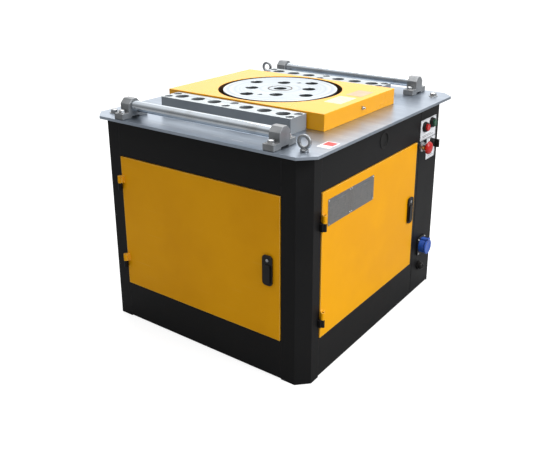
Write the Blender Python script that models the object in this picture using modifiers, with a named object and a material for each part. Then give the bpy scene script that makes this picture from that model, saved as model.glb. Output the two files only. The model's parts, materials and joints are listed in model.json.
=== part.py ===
"""Rebar bender for bars up to 40 mm: a welded cabinet, a table plate and a round working disc, driven
through a closed gearbox. Metres, +Z up. The disc turns about the world's Z axis, and the machine stands
on z = 0."""

import math

import bmesh
import bpy
from mathutils import Matrix, Vector

# Gaps, and the distance within which points of one mesh are joined
GAP = 0.0003
DOOR_GAP = 0.0025
WELD = 0.00001

# Cabinet of bent sheet
CABINET_X = 0.366
CABINET_Y = 0.402
CABINET_TOP = 0.6427
CORNER = 0.032
SHEET = 0.003
PANEL_FOOT = 0.0065
POST_LEG = 0.060
FLOOR_THICK = 0.004

# Doors
FRONT_DOOR_X = 0.287
FRONT_DOOR_Z = (0.1195, 0.5300)
SIDE_DOOR_Y = (-0.333, 0.214)
SIDE_DOOR_Z = (0.1225, 0.5355)
DOOR_PROUD = 0.002
DOOR_DEPTH = 0.018
DOOR_SKIN = 0.002
HINGE_STAND_OFF = 0.0102
HINGE_RADIUS = 0.0060
HINGE_HALF = 0.0215
HINGE_PIN_RADIUS = 0.003
HINGE_BORE_RADIUS = 0.0037
HINGE_TAB = 0.010
WELD_DEPTH = 0.0005
FRONT_HINGES_Z = (0.197, 0.450)
SIDE_HINGES_Z = (0.182, 0.457)

# Door latches: places are across the door and up, heights are from the plate's middle
LATCH_PLACE_FRONT = (0.2505, 0.3190)
LATCH_PLACE_SIDE = (0.1830, 0.3235)
LATCH_HALF_WIDTH = 0.016
LATCH_HALF_HEIGHT = 0.043
LATCH_CORNER = 0.010
LATCH_PLATE = 0.006
LATCH_BODY = (0.012, 0.034)
LATCH_BODY_DEPTH = 0.012
RECESS_FLOOR = 0.0015
RECESS_GAP = 0.001
LEVER_TOP = 0.016
LEVER_BOTTOM = -0.038
LEVER_HALF_WIDTH = 0.0105
LEVER_Z = (0.0024, 0.0078)
LEVER_PIVOT = (0.0, 0.0125, 0.0055)
KNUCKLE_RADIUS = 0.0030

# Table plate
PLATE_X = (-0.371, 0.391)
PLATE_Y = (-0.432, 0.438)
PLATE_THICK = 0.008
PLATE_TOP = 0.651
PLATE_CORNER = 0.039

# Table block, hole bars and disc
BLOCK_CENTRE_X = 0.0055
BLOCK_SIZE = (0.562, 0.403, 0.0475)
BLOCK_OPENING = 0.190
BAR_SIZE = (0.464, 0.074, 0.0437)
BAR_CENTRE = (0.002, 0.2445)
BAR_HOLE_X = (0.058, 0.120, 0.182)
BAR_HOLE_RADIUS = 0.020
BAR_DOWEL_X = 0.218
BAR_DOWEL_Y = 0.0195
BAR_DOWEL_RADIUS = 0.012
BAR_DOWEL_DEPTH = 0.012
DISC_RADIUS = 0.175
DISC_THICK = 0.0445
DISC_TOP = 0.6985
DISC_HOLE_RADIUS = 0.020
DISC_HOLE_PITCH = 0.0885
DISC_HOLE_TURN = math.radians(27.6)
DISC_HOLE_DEPTH = 0.030
DISC_THREAD = (0.0075, 0.103, 0.020)

# Feed rollers and their brackets
ROLLER_Y = 0.381
ROLLER_CENTRE_X = 0.008
ROLLER_HALF_SPAN = 0.2620
BRACKET_THICK = 0.034
BRACKET_LENGTH = 0.096
BRACKET_BASE = 0.017
BRACKET_TOP = 0.0545
BRACKET_HALF_NECK = 0.0225
ROLLER_RADIUS = 0.0155
ROLLER_HEIGHT = 0.034
JOURNAL_RADIUS = 0.008
BRACKET_SHOULDER = 0.0135
BRACKET_RELIEF = (0.016, 0.0045)
BRACKET_BORE_DEPTH = 0.022

# Lifting eyes
EYE_PLACES = {"lifting_eye_front": (0.342, -0.379), "lifting_eye_back": (-0.332, 0.380)}
EYE_RING = 0.0150
EYE_WIRE = 0.0045
EYE_COLLAR = (0.0105, 0.006)
EYE_SHANK = (0.0047, 0.014)
EYE_THREAD = 0.0052
EYE_TURN = math.radians(6)

# Gear train: teeth, module, face height, and where each shaft stands
PRESSURE_ANGLE = math.radians(25)
BACKLASH = 0.0004
SHAFTS = {
    "spindle": (0.0, 0.0),
    "second": (-0.1410, 0.13835),
    "first": (-0.0120, 0.2108),
    "input": (0.0951, 0.1718),
}
OUTPUT_GEAR = (64, 0.0050)
SECOND_PINION = (15, 0.0050)
SECOND_GEAR = (60, 0.0040)
FIRST_PINION = (14, 0.0040)
FIRST_GEAR = (62, 0.0030)
INPUT_PINION = (14, 0.0030)
SPINDLE_RADIUS = 0.040
OUTPUT_GEAR_Z = (0.560, 0.600)
SECOND_GEAR_Z = (0.515, 0.548)
FIRST_GEAR_Z = (0.472, 0.500)
PINION_OVERLAP = 0.002
SECOND_SHAFT_RADIUS = 0.018
FIRST_SHAFT_RADIUS = 0.015
INPUT_SHAFT_RADIUS = 0.012
SHAFT_TOP = 0.6315
SHAFT_FOOT = 0.380
LOWER_BEARING = (0.060, 0.020)
UPPER_BEARING = 0.062
BEARING_SEAT = 0.0625
SEAL_BORE = 0.0135
CASE_WALL = 0.010
CASE_FLOOR = (0.432, 0.444)
CASE_TOP = 0.6322

# Belt drive and motor
MOTOR_PLACE = (0.240, -0.275)
BELT_Z = (0.393, 0.407)
BELT_HEIGHT = 0.009
BELT_SUNK = 0.008
DRIVEN_PULLEY_RADIUS = 0.099
MOTOR_PULLEY_RADIUS = 0.045
PULLEY_Z = (0.384, 0.416)
GROOVE_DEPTH = 0.0095
MOTOR_Z = (0.4290, 0.622)
MOTOR_FINS = 20
MOTOR_RADII = (0.076, 0.084)
MOTOR_SHAFT = (0.012, 0.380, 0.2)
MOTOR_BORE = 0.0135
SHELF_Z = (0.4207, 0.4287)
SHELF_X = 0.130
SHELF_Y = -0.184
SHELF_HOLE = 0.030
SHELF_CLEARANCE = 0.004

# Switchgear inside the back panel
SWITCH_PLATE_X = (0.020, 0.300)
SWITCH_PLATE_Z = (0.140, 0.380)
SWITCH_PLATE_THICK = 0.002
SWITCH_STAND_OFF = 0.012
CONTACTOR_X = (0.060, 0.140)
CONTACTOR_Z = (0.230, 0.310)
CONTACTOR_DEPTH = 0.085

# Controls on the strip beside the side door
STRIP_Y = (0.2165, 0.3665)
STRIP_SEAM_Y = 0.2334
STOP_PLACE = (0.263, 0.576)
START_PLACE = (0.314, 0.580)
EMERGENCY_PLACE = (0.2465, 0.516)
SELECTOR_PLACE = (0.3150, 0.515)
BUTTON_HOLE = 0.0125
SELECTOR_HOLE = 0.0095
CAP_RADIUS = 0.0112
CAP_X = (-0.012, 0.0160)
SOCKET_PLACE = (0.291, 0.163)
PLUG_PLACE = (-0.0078, 0.596)
PLUG_RADIUS = 0.0235

# Selector: radius, start and length of its stem and skirt, then the grip across it
SELECTOR_STEM = (0.0085, (-0.010, 0, 0), 0.016)
SELECTOR_SKIRT = (0.0135, (0.003, 0, 0), 0.015)
SELECTOR_GRIP = (0.0035, 0.0130, 0.017, 0.031)

# Power socket and its flap, measured from the panel and the socket's middle
SOCKET_FLANGE = (0.0275, 0.031, 0.006, 0.005)
COLLAR_RADIUS = 0.0235
COLLAR_REACH = 0.021
WELL_RADIUS = 0.0185
WELL_FLOOR = 0.004
EAR_HALF = 0.009
EAR_DROP = 0.0105
FLAP_RADIUS = 0.0250
FLAP_X = (-0.0040, 0.0008)
FLAP_HINGE_X = 0.0265
FLAP_HINGE_Z = 0.0275
FLAP_KNUCKLE = 0.0032


def clear_scene():
    for item in list(bpy.data.objects):
        bpy.data.objects.remove(item, do_unlink=True)


def new_collection(name):
    collection = bpy.data.collections.new(name)
    bpy.context.scene.collection.children.link(collection)
    return collection


clear_scene()
PARTS = new_collection("rebar_bender")
CUTTERS = new_collection("cutters")


def finish(name, colour, roughness, metallic=0.0):
    material = bpy.data.materials.new(name)
    material.use_nodes = True
    shader = material.node_tree.nodes["Principled BSDF"]
    shader.inputs["Base Color"].default_value = (*colour, 1.0)
    shader.inputs["Roughness"].default_value = roughness
    shader.inputs["Metallic"].default_value = metallic
    return material


BLACK_PAINT = finish("black_paint", (0.012, 0.012, 0.013), 0.5)
YELLOW_PAINT = finish("yellow_paint", (0.78, 0.36, 0.01), 0.4)
PLATE_STEEL = finish("plate_steel", (0.55, 0.60, 0.68), 0.35, 0.8)
GROUND_STEEL = finish("ground_steel", (0.62, 0.63, 0.65), 0.28, 1.0)
CHROME = finish("chrome", (0.75, 0.76, 0.78), 0.12, 1.0)
CAST_STEEL = finish("cast_steel", (0.33, 0.33, 0.34), 0.5, 0.7)
GEAR_STEEL = finish("gear_steel", (0.40, 0.40, 0.42), 0.35, 1.0)
CASTING_PAINT = finish("casting_paint", (0.16, 0.20, 0.24), 0.5)
RUBBER = finish("rubber", (0.015, 0.015, 0.015), 0.8)
RED_PLASTIC = finish("red_plastic", (0.65, 0.03, 0.03), 0.35)
GREEN_PLASTIC = finish("green_plastic", (0.03, 0.35, 0.08), 0.35)
BLACK_PLASTIC = finish("black_plastic", (0.02, 0.02, 0.02), 0.4)
BLUE_PLASTIC = finish("blue_plastic", (0.03, 0.12, 0.55), 0.35)


def place(name, bm, material=None, location=(0, 0, 0)):
    """Make an object of a bmesh; with no material it is a cutter."""
    bmesh.ops.recalc_face_normals(bm, faces=bm.faces)
    mesh = bpy.data.meshes.new(name)
    bm.to_mesh(mesh)
    bm.free()
    piece = bpy.data.objects.new(name, mesh)
    piece.location = location
    if material is None:
        CUTTERS.objects.link(piece)
        piece.hide_render = True
        piece.display_type = "WIRE"
    else:
        PARTS.objects.link(piece)
        mesh.materials.append(material)
    return piece


def block(name, low, high, material=None, bevel=0.0, origin=(0, 0, 0)):
    """A box between two corners, given from the piece's origin."""
    low, high = Vector(low), Vector(high)
    matrix = Matrix.Translation((low + high) / 2) @ Matrix.Diagonal((*(high - low), 1.0))
    bm = bmesh.new()
    bmesh.ops.create_cube(bm, size=1.0, matrix=matrix)
    piece = place(name, bm, material, location=origin)
    if bevel:
        soften(piece, bevel)
    return piece


def soften(piece, width, segments=1):
    rounding = piece.modifiers.new("edges", "BEVEL")
    rounding.width = width
    rounding.segments = segments
    rounding.limit_method = "ANGLE"
    rounding.angle_limit = math.radians(35)


# Turns that stand a shape's Z along an axis; UP stands a flat drawing upright, facing -Y
AXIS_TURN = {
    "X": Matrix.Rotation(math.radians(90), 4, "Y"),
    "Y": Matrix.Rotation(math.radians(-90), 4, "X"),
    "Z": Matrix.Identity(4),
    "UP": Matrix.Rotation(math.radians(90), 4, "X"),
}


def add_cylinder(bm, radius, start, length, axis="Z", sides=24):
    """Add a closed cylinder to a bmesh, from start along the axis."""
    shift = AXIS_TURN[axis] @ Matrix.Translation((0, 0, length / 2))
    bmesh.ops.create_cone(
        bm,
        cap_ends=True,
        segments=sides,
        radius1=radius,
        radius2=radius,
        depth=length,
        matrix=Matrix.Translation(start) @ shift,
    )


def cylinders(name, sizes, material=None, axis="Z", sides=24, origin=(0, 0, 0)):
    """Separate cylinders in one mesh: each size is (radius, start, length)."""
    bm = bmesh.new()
    for radius, start, length in sizes:
        add_cylinder(bm, radius, start, length, axis, sides)
    return place(name, bm, material, location=origin)


def looped_curve(name, points):
    """A curve with one closed spline through the points."""
    curve = bpy.data.curves.new(name, "CURVE")
    spline = curve.splines.new("POLY")
    spline.points.add(len(points) - 1)
    for point, place_of in zip(spline.points, points):
        point.co = (*place_of, 1)
    spline.use_cyclic_u = True
    return curve


def curve_to_bmesh(curve):
    """The curve's evaluated surface as a welded bmesh."""
    shape = bpy.data.objects.new(curve.name, curve)
    bpy.context.scene.collection.objects.link(shape)
    mesh = bpy.data.meshes.new_from_object(shape.evaluated_get(bpy.context.evaluated_depsgraph_get()))
    bpy.data.objects.remove(shape, do_unlink=True)
    bm = bmesh.new()
    bm.from_mesh(mesh)
    bpy.data.meshes.remove(mesh)
    bmesh.ops.remove_doubles(bm, verts=bm.verts, dist=WELD)
    return bm


def outline(name, points, low, high, material=None, origin=(0, 0, 0)):
    """A flat closed outline in X and Y, made solid between two heights."""
    curve = looped_curve(name + "_outline", [(x, y, 0) for x, y in points])
    curve.dimensions = "2D"
    curve.fill_mode = "BOTH"
    curve.extrude = (high - low) / 2
    bm = curve_to_bmesh(curve)
    bmesh.ops.translate(bm, verts=bm.verts, vec=(0, 0, (low + high) / 2))
    return place(name, bm, material, location=origin)


def turned(name, profile, material, sides=32, origin=(0, 0, 0), ring=False):
    """A (radius, height) profile turned about Z, given down its outer side first.
    A solid's profile runs from the axis to the axis; a ring's closes on itself."""
    bm = bmesh.new()
    corners = [bm.verts.new((radius, 0, height)) for radius, height in profile]
    last = corners[:1] if ring else []
    for first, second in zip(corners, corners[1:] + last):
        bm.edges.new((first, second))
    piece = place(name, bm, material, location=origin)
    screw = piece.modifiers.new("turn", "SCREW")
    screw.steps = sides
    screw.render_steps = sides
    screw.use_merge_vertices = True
    screw.merge_threshold = 5 * WELD
    return piece


def combine(piece, other, operation):
    step = piece.modifiers.new(operation.lower(), "BOOLEAN")
    step.operation = operation
    step.object = other
    return piece


def subtract(piece, cutter):
    return combine(piece, cutter, "DIFFERENCE")


def fuse(piece, addition):
    return combine(piece, addition, "UNION")


def chamfered_corners(low_x, high_x, low_y, high_y, cut):
    return [
        (low_x + cut, low_y),
        (high_x - cut, low_y),
        (high_x, low_y + cut),
        (high_x, high_y - cut),
        (high_x - cut, high_y),
        (low_x + cut, high_y),
        (low_x, high_y - cut),
        (low_x, low_y + cut),
    ]


def rounded_outline(half_x, half_y, radius, steps=4):
    """A rectangle about the origin with rounded corners."""
    points = []
    for quarter, (sx, sy) in enumerate(((1, 1), (-1, 1), (-1, -1), (1, -1))):
        for step in range(steps + 1):
            angle = math.radians(90) * (quarter + step / steps)
            x = sx * (half_x - radius) + radius * math.cos(angle)
            y = sy * (half_y - radius) + radius * math.sin(angle)
            points.append((x, y))
    return points


def grown(points, distance):
    """The outline with every side moved outwards, corners kept sharp; points run counter-clockwise."""
    result = []
    for before, here, after in zip(points[-1:] + points[:-1], points, points[1:] + points[:1]):
        into = (Vector(here) - Vector(before)).normalized()
        out_of = (Vector(after) - Vector(here)).normalized()
        bisector = Vector((into.y + out_of.y, -into.x - out_of.x)).normalized()
        reach = distance / (bisector.x * into.y - bisector.y * into.x)
        result.append((here[0] + bisector.x * reach, here[1] + bisector.y * reach))
    return result


# ---------------------------------------------------------------- cabinet


def corner_post(name, side_x, side_y, leg_x, leg_y):
    """A sheet bent round one corner; the legs are measured from the sharp corner."""
    inner = CORNER + SHEET * math.tan(math.radians(22.5))
    path = [
        (CABINET_X - leg_x, CABINET_Y),
        (CABINET_X - CORNER, CABINET_Y),
        (CABINET_X, CABINET_Y - CORNER),
        (CABINET_X, CABINET_Y - leg_y),
        (CABINET_X - SHEET, CABINET_Y - leg_y),
        (CABINET_X - SHEET, CABINET_Y - inner),
        (CABINET_X - inner, CABINET_Y - SHEET),
        (CABINET_X - leg_x, CABINET_Y - SHEET),
    ]
    points = [(side_x * x, side_y * y) for x, y in path]
    return outline(name, points, 0.0, CABINET_TOP, BLACK_PAINT)


def cabinet():
    front_leg = CABINET_X - FRONT_DOOR_X - DOOR_GAP
    hinge_leg = CABINET_Y + SIDE_DOOR_Y[0] - DOOR_GAP
    strip_leg = CABINET_Y - STRIP_Y[1] - GAP
    corner_post("corner_post_front_right", 1, -1, front_leg, hinge_leg)
    corner_post("corner_post_front_left", -1, -1, front_leg, POST_LEG)
    corner_post("corner_post_back_left", -1, 1, POST_LEG, POST_LEG)
    corner_post("corner_post_back_right", 1, 1, POST_LEG, strip_leg)

    half = CABINET_X - front_leg - GAP
    front = (-CABINET_Y, -CABINET_Y + SHEET)
    z_top = (FRONT_DOOR_Z[1] + DOOR_GAP, CABINET_TOP)
    z_bottom = (PANEL_FOOT, FRONT_DOOR_Z[0] - DOOR_GAP)
    block("front_top_panel", (-half, front[0], z_top[0]), (half, front[1], z_top[1]), BLACK_PAINT)
    block("front_bottom_panel", (-half, front[0], z_bottom[0]), (half, front[1], z_bottom[1]), BLACK_PAINT)

    side = (CABINET_X - SHEET, CABINET_X)
    low = -CABINET_Y + hinge_leg + GAP
    high = STRIP_Y[0] - GAP
    z_top = (SIDE_DOOR_Z[1] + DOOR_GAP, CABINET_TOP)
    z_bottom = (PANEL_FOOT, SIDE_DOOR_Z[0] - DOOR_GAP)
    upper = block("side_top_panel", (side[0], low, z_top[0]), (side[1], high, z_top[1]), BLACK_PAINT)
    hole_start = (CABINET_X - 2 * SHEET, *PLUG_PLACE)
    subtract(upper, cylinders("access_hole", [(PLUG_RADIUS, hole_start, 4 * SHEET)], axis="X", sides=32))
    block("side_bottom_panel", (side[0], low, z_bottom[0]), (side[1], high, z_bottom[1]), BLACK_PAINT)

    reach = CABINET_Y - POST_LEG - GAP
    low = (-CABINET_X, -reach, PANEL_FOOT)
    block("left_panel", low, (-CABINET_X + SHEET, reach, CABINET_TOP), BLACK_PAINT)
    reach = CABINET_X - POST_LEG - GAP
    block("back_panel", (-reach, CABINET_Y - SHEET, PANEL_FOOT), (reach, CABINET_Y, CABINET_TOP), BLACK_PAINT)
    inset = SHEET + 2 * GAP
    floor = chamfered_corners(
        -CABINET_X + inset, CABINET_X - inset, -CABINET_Y + inset, CABINET_Y - inset, CORNER
    )
    outline("floor_plate", floor, 0.0, FLOOR_THICK, BLACK_PAINT)


def control_strip():
    """The removable strip that carries the controls, with a scored line near its door side."""
    outer = CABINET_X
    low = (outer - SHEET, STRIP_Y[0], PANEL_FOOT)
    high = (outer, STRIP_Y[1], CABINET_TOP)
    strip = block("control_strip", low, high, BLACK_PAINT)
    line = SHEET / 2
    score = block(
        "score_line",
        (outer - line, STRIP_SEAM_Y - line, 0.0),
        (outer + line, STRIP_SEAM_Y + line, CABINET_TOP + line),
    )
    subtract(strip, score)
    places = (STOP_PLACE, START_PLACE, EMERGENCY_PLACE, SELECTOR_PLACE)
    radii = (BUTTON_HOLE, BUTTON_HOLE, BUTTON_HOLE, SELECTOR_HOLE)
    holes = [(radius, (outer - 2 * SHEET, *spot), 4 * SHEET) for radius, spot in zip(radii, places)]
    subtract(strip, cylinders("control_holes", holes, axis="X"))


# ---------------------------------------------------------------- doors


def hinge_half(name, axis_place, towards, low, material=None):
    """A barrel and the tab that welds it to a face; towards is the tab's far corner from the axis."""
    x, y = axis_place
    barrel = cylinders(name, [(HINGE_RADIUS, (x, y, low), HINGE_HALF)], material, sides=16)
    corner = (x + towards[0], y + towards[1])
    tab_low = (min(x, corner[0]), min(y, corner[1]), low)
    tab_high = (max(x, corner[0]), max(y, corner[1]), low + HINGE_HALF)
    tab = block(name + "_tab", tab_low, tab_high)
    return fuse(barrel, tab)


def hinge_post_half(name, axis_place, towards, middle):
    """The fixed lower barrel with the pin standing in it."""
    low = middle - GAP - HINGE_HALF
    half = hinge_half(name, axis_place, towards, low, BLACK_PAINT)
    size = (HINGE_PIN_RADIUS, (*axis_place, low + 0.001), 2 * HINGE_HALF - 0.003)
    pin = cylinders(name + "_pin", [size], sides=12)
    return fuse(half, pin)


def add_door_hinges(door, name, axis_place, towards, middles):
    """Weld the upper barrels to a door and bore them for their pins."""
    sizes = []
    for number, middle in enumerate(middles):
        fuse(door, hinge_half(f"{name}_barrel_{number}", axis_place, towards, middle + GAP))
        sizes.append((HINGE_BORE_RADIUS, (*axis_place, middle - 0.002), HINGE_HALF + 0.004))
    subtract(door, cylinders(name + "_bores", sizes, sides=12))


def door_pan(name, low, high, open_low, open_high, pivot, cut_low, cut_high):
    """A folded sheet door: a box, its pocket from behind, and the latch's cut-out, from its pivot."""
    shift = Vector(pivot)
    door = block(name, Vector(low) - shift, Vector(high) - shift, YELLOW_PAINT, origin=pivot)
    pocket = block(name + "_pocket", open_low, open_high)
    subtract(door, pocket)
    return subtract(door, block(name + "_latch_cut", cut_low, cut_high))


def latch(name, rotation, face_place):
    """A flush cabinet latch: a plate with a recess and a body behind it, and the lever in the recess.
    It is made facing -Y with its plate's back on y = 0, then turned and moved to the door."""
    corners = rounded_outline(LATCH_HALF_WIDTH, LATCH_HALF_HEIGHT, LATCH_CORNER)
    housing = outline(name + "_housing", corners, 0.0, LATCH_PLATE, BLACK_PLASTIC)
    half_x, half_y = LATCH_BODY
    body = block(name + "_body", (-half_x, -half_y, -LATCH_BODY_DEPTH), (half_x, half_y, 0.001))
    fuse(housing, body)
    recess_x = LEVER_HALF_WIDTH + RECESS_GAP
    recess = block(
        name + "_recess",
        (-recess_x, LEVER_BOTTOM - RECESS_GAP, RECESS_FLOOR),
        (recess_x, LEVER_TOP + RECESS_GAP, 2 * LATCH_PLATE),
    )
    subtract(housing, recess)
    upright = Matrix.Translation(face_place) @ rotation @ AXIS_TURN["UP"]
    for helper in (housing, body, recess):
        helper.matrix_world = upright

    _, pivot_y, pivot_z = LEVER_PIVOT
    lever = block(
        name + "_lever",
        (-LEVER_HALF_WIDTH, LEVER_BOTTOM - pivot_y, LEVER_Z[0] - pivot_z),
        (LEVER_HALF_WIDTH, -0.002, LEVER_Z[1] - pivot_z),
        BLACK_PLASTIC,
    )
    size = (KNUCKLE_RADIUS, (-LEVER_HALF_WIDTH, 0, 0), 2 * LEVER_HALF_WIDTH)
    knuckle = cylinders(name + "_knuckle", [size], axis="X", sides=12)
    fuse(lever, knuckle)
    for helper in (lever, knuckle):
        helper.matrix_world = upright @ Matrix.Translation(LEVER_PIVOT)


def front_door():
    face = -CABINET_Y - DOOR_PROUD
    pivot = (-FRONT_DOOR_X - DOOR_GAP / 2, -CABINET_Y - HINGE_STAND_OFF, 0.0)
    low = (-FRONT_DOOR_X, face, FRONT_DOOR_Z[0])
    high = (FRONT_DOOR_X, face + DOOR_DEPTH, FRONT_DOOR_Z[1])
    skin = DOOR_SKIN
    x, z = LATCH_PLACE_FRONT
    half_x, half_z = LATCH_BODY
    door = door_pan(
        "front_door",
        low,
        high,
        (low[0] + skin, face + skin, low[2] + skin),
        (high[0] - skin, face + DOOR_DEPTH + skin, high[2] - skin),
        pivot,
        (x - half_x - GAP, face - skin, z - half_z - GAP),
        (x + half_x + GAP, face + 2 * skin, z + half_z + GAP),
    )
    tab = (HINGE_TAB, HINGE_STAND_OFF - DOOR_PROUD + WELD_DEPTH)
    add_door_hinges(door, "front_hinge", pivot[:2], tab, FRONT_HINGES_Z)
    tab = (-HINGE_TAB, HINGE_STAND_OFF - GAP)
    for level, middle in zip(("lower", "upper"), FRONT_HINGES_Z):
        hinge_post_half(f"front_hinge_{level}", pivot[:2], tab, middle)
    latch("front_latch", Matrix.Identity(4), (x, face - GAP, z))


def side_door():
    face = CABINET_X + DOOR_PROUD
    pivot = (CABINET_X + HINGE_STAND_OFF, SIDE_DOOR_Y[0] - DOOR_GAP / 2, 0.0)
    low = (face - DOOR_DEPTH, SIDE_DOOR_Y[0], SIDE_DOOR_Z[0])
    high = (face, SIDE_DOOR_Y[1], SIDE_DOOR_Z[1])
    skin = DOOR_SKIN
    y, z = LATCH_PLACE_SIDE
    half_y, half_z = LATCH_BODY
    door = door_pan(
        "side_door",
        low,
        high,
        (face - DOOR_DEPTH - skin, low[1] + skin, low[2] + skin),
        (face - skin, high[1] - skin, high[2] - skin),
        pivot,
        (face - 2 * skin, y - half_y - GAP, z - half_z - GAP),
        (face + skin, y + half_y + GAP, z + half_z + GAP),
    )
    tab = (-HINGE_STAND_OFF + DOOR_PROUD - WELD_DEPTH, HINGE_TAB)
    add_door_hinges(door, "side_hinge", pivot[:2], tab, SIDE_HINGES_Z)
    tab = (-HINGE_STAND_OFF + GAP, -HINGE_TAB)
    for level, middle in zip(("lower", "upper"), SIDE_HINGES_Z):
        hinge_post_half(f"side_hinge_{level}", pivot[:2], tab, middle)
    latch("side_latch", Matrix.Rotation(math.radians(90), 4, "Z"), (face + GAP, y, z))


# ---------------------------------------------------------------- table


def table_plate():
    corners = chamfered_corners(*PLATE_X, *PLATE_Y, PLATE_CORNER)
    plate = outline("table_plate", corners, PLATE_TOP - PLATE_THICK, PLATE_TOP, PLATE_STEEL)
    low = PLATE_TOP - 2 * PLATE_THICK
    subtract(plate, cylinders("bearing_seat", [(BEARING_SEAT, (0, 0, low), 3 * PLATE_THICK)], sides=32))
    threads = [(EYE_THREAD, (x, y, low), 3 * PLATE_THICK) for x, y in EYE_PLACES.values()]
    subtract(plate, cylinders("eye_threads", threads, sides=12))


def table_block():
    bottom = PLATE_TOP + GAP
    half_x, half_y, height = BLOCK_SIZE[0] / 2, BLOCK_SIZE[1] / 2, BLOCK_SIZE[2]
    low = (BLOCK_CENTRE_X - half_x, -half_y, bottom)
    high = (BLOCK_CENTRE_X + half_x, half_y, bottom + height)
    body = block("table_block", low, high, YELLOW_PAINT)
    opening = (BLOCK_OPENING, (0, 0, bottom - height), 3 * height)
    subtract(body, cylinders("disc_opening", [opening], sides=64))


def hole_bar(name, side):
    bottom = PLATE_TOP + GAP
    length, width, height = BAR_SIZE
    centre = (BAR_CENTRE[0], side * BAR_CENTRE[1], bottom)
    low = (-length / 2, -width / 2, 0)
    bar = block(name, low, (length / 2, width / 2, height), GROUND_STEEL, 0.0012, centre)
    places = [sign * x for x in BAR_HOLE_X for sign in (-1, 1)]
    holes = [(BAR_HOLE_RADIUS, (x, 0, -0.01), height + 0.02) for x in places]
    subtract(bar, cylinders(name + "_holes", holes, sides=20, origin=centre))
    bolts = [
        (BAR_DOWEL_RADIUS, (x, y, height - BAR_DOWEL_DEPTH), 2 * BAR_DOWEL_DEPTH)
        for x in (-BAR_DOWEL_X, 0, BAR_DOWEL_X)
        for y in (-BAR_DOWEL_Y, BAR_DOWEL_Y)
    ]
    subtract(bar, cylinders(name + "_bolt_holes", bolts, sides=10, origin=centre))


def working_disc():
    """The disc: a three by three square grid of pin holes and two threaded lifting holes."""
    low = DISC_TOP - DISC_THICK
    chamfer = 0.0015
    rim = [
        (0, DISC_TOP),
        (DISC_RADIUS - chamfer, DISC_TOP),
        (DISC_RADIUS, DISC_TOP - chamfer),
        (DISC_RADIUS, low),
        (0, low),
    ]
    disc = turned("working_disc", rim, GROUND_STEEL, 64)
    cos, sin = math.cos(DISC_HOLE_TURN), math.sin(DISC_HOLE_TURN)
    grid = [(i * DISC_HOLE_PITCH, j * DISC_HOLE_PITCH) for i in (-1, 0, 1) for j in (-1, 0, 1)]
    low = DISC_TOP - DISC_HOLE_DEPTH
    holes = [
        (DISC_HOLE_RADIUS, (x * cos - y * sin, x * sin + y * cos, low), 2 * DISC_HOLE_DEPTH)
        for x, y in grid
    ]
    subtract(disc, cylinders("pin_holes", holes, sides=20))
    radius, reach, depth = DISC_THREAD
    threads = [(radius, (0, y, DISC_TOP - depth), 2 * depth) for y in (-reach, reach)]
    subtract(disc, cylinders("disc_threads", threads, sides=10))


def roller_bracket(name, side_x, side_y):
    """A cast foot with a relief under it and a chamfered upright that carries the roller's journal."""
    half, neck = BRACKET_LENGTH / 2, BRACKET_HALF_NECK
    shoulder = BRACKET_SHOULDER
    relief, relief_top = BRACKET_RELIEF
    path = [
        (-half, 0.0),
        (-relief, 0.0),
        (-relief, relief_top),
        (relief, relief_top),
        (relief, 0.0),
        (half, 0.0),
        (half, BRACKET_BASE),
        (neck, BRACKET_BASE),
        (neck, BRACKET_TOP - shoulder),
        (neck - shoulder, BRACKET_TOP),
        (-neck + shoulder, BRACKET_TOP),
        (-neck, BRACKET_TOP - shoulder),
        (-neck, BRACKET_BASE),
        (-half, BRACKET_BASE),
    ]
    thick = BRACKET_THICK / 2
    bracket = outline(name, path, -thick, thick, CAST_STEEL)
    spot = (ROLLER_CENTRE_X + side_x * ROLLER_HALF_SPAN, side_y * ROLLER_Y, PLATE_TOP + GAP)
    upright = Matrix.Rotation(math.radians(90), 4, "Z") @ AXIS_TURN["UP"]
    bracket.matrix_world = Matrix.Translation(spot) @ upright
    inner = spot[0] - side_x * (thick + 0.002)
    end = inner + side_x * (BRACKET_BORE_DEPTH + 0.002)
    start = (min(inner, end), spot[1], PLATE_TOP + ROLLER_HEIGHT)
    bore = (JOURNAL_RADIUS + 2 * GAP, start, abs(end - inner))
    subtract(bracket, cylinders(name + "_bore", [bore], axis="X", sides=16))


def feed_roller(name, side_y):
    """A round bar with a turned-down journal at each end."""
    face = ROLLER_HALF_SPAN - BRACKET_THICK / 2 - 0.0015
    journal = face + 0.018
    profile = [
        (0, journal),
        (JOURNAL_RADIUS, journal),
        (JOURNAL_RADIUS, face),
        (ROLLER_RADIUS - 0.001, face),
        (ROLLER_RADIUS, face - 0.001),
    ]
    profile += [(radius, -height) for radius, height in reversed(profile)]
    spot = (ROLLER_CENTRE_X, side_y * ROLLER_Y, PLATE_TOP + ROLLER_HEIGHT)
    roller = turned(name, profile, CHROME, 24, spot)
    roller.rotation_euler = (0, math.radians(90), 0)


def lifting_eye(name, spot):
    """A ring on a collar with a threaded shank through the plate."""
    origin = (*spot, PLATE_TOP)
    radius, height = EYE_COLLAR
    eye = cylinders(name, [(radius, (0, 0, GAP), height)], CAST_STEEL, sides=16, origin=origin)
    middle = height + EYE_RING + EYE_WIRE - 0.0015
    count = 24
    angles = [2 * math.pi * number / count for number in range(count)]
    points = [(EYE_RING * math.cos(angle), 0, middle + EYE_RING * math.sin(angle)) for angle in angles]
    wire = looped_curve(name + "_wire", points)
    wire.dimensions = "3D"
    wire.bevel_depth = EYE_WIRE
    wire.bevel_resolution = 2
    ring = place(name + "_ring", curve_to_bmesh(wire), location=origin)
    fuse(eye, ring)
    radius, depth = EYE_SHANK
    fuse(eye, cylinders(name + "_shank", [(radius, (0, 0, -depth), depth + 0.002)], sides=12, origin=origin))
    for piece in (eye, ring):
        piece.rotation_euler = (0, 0, EYE_TURN)


# ---------------------------------------------------------------- drive


def involute(angle):
    return math.tan(angle) - angle


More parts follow.
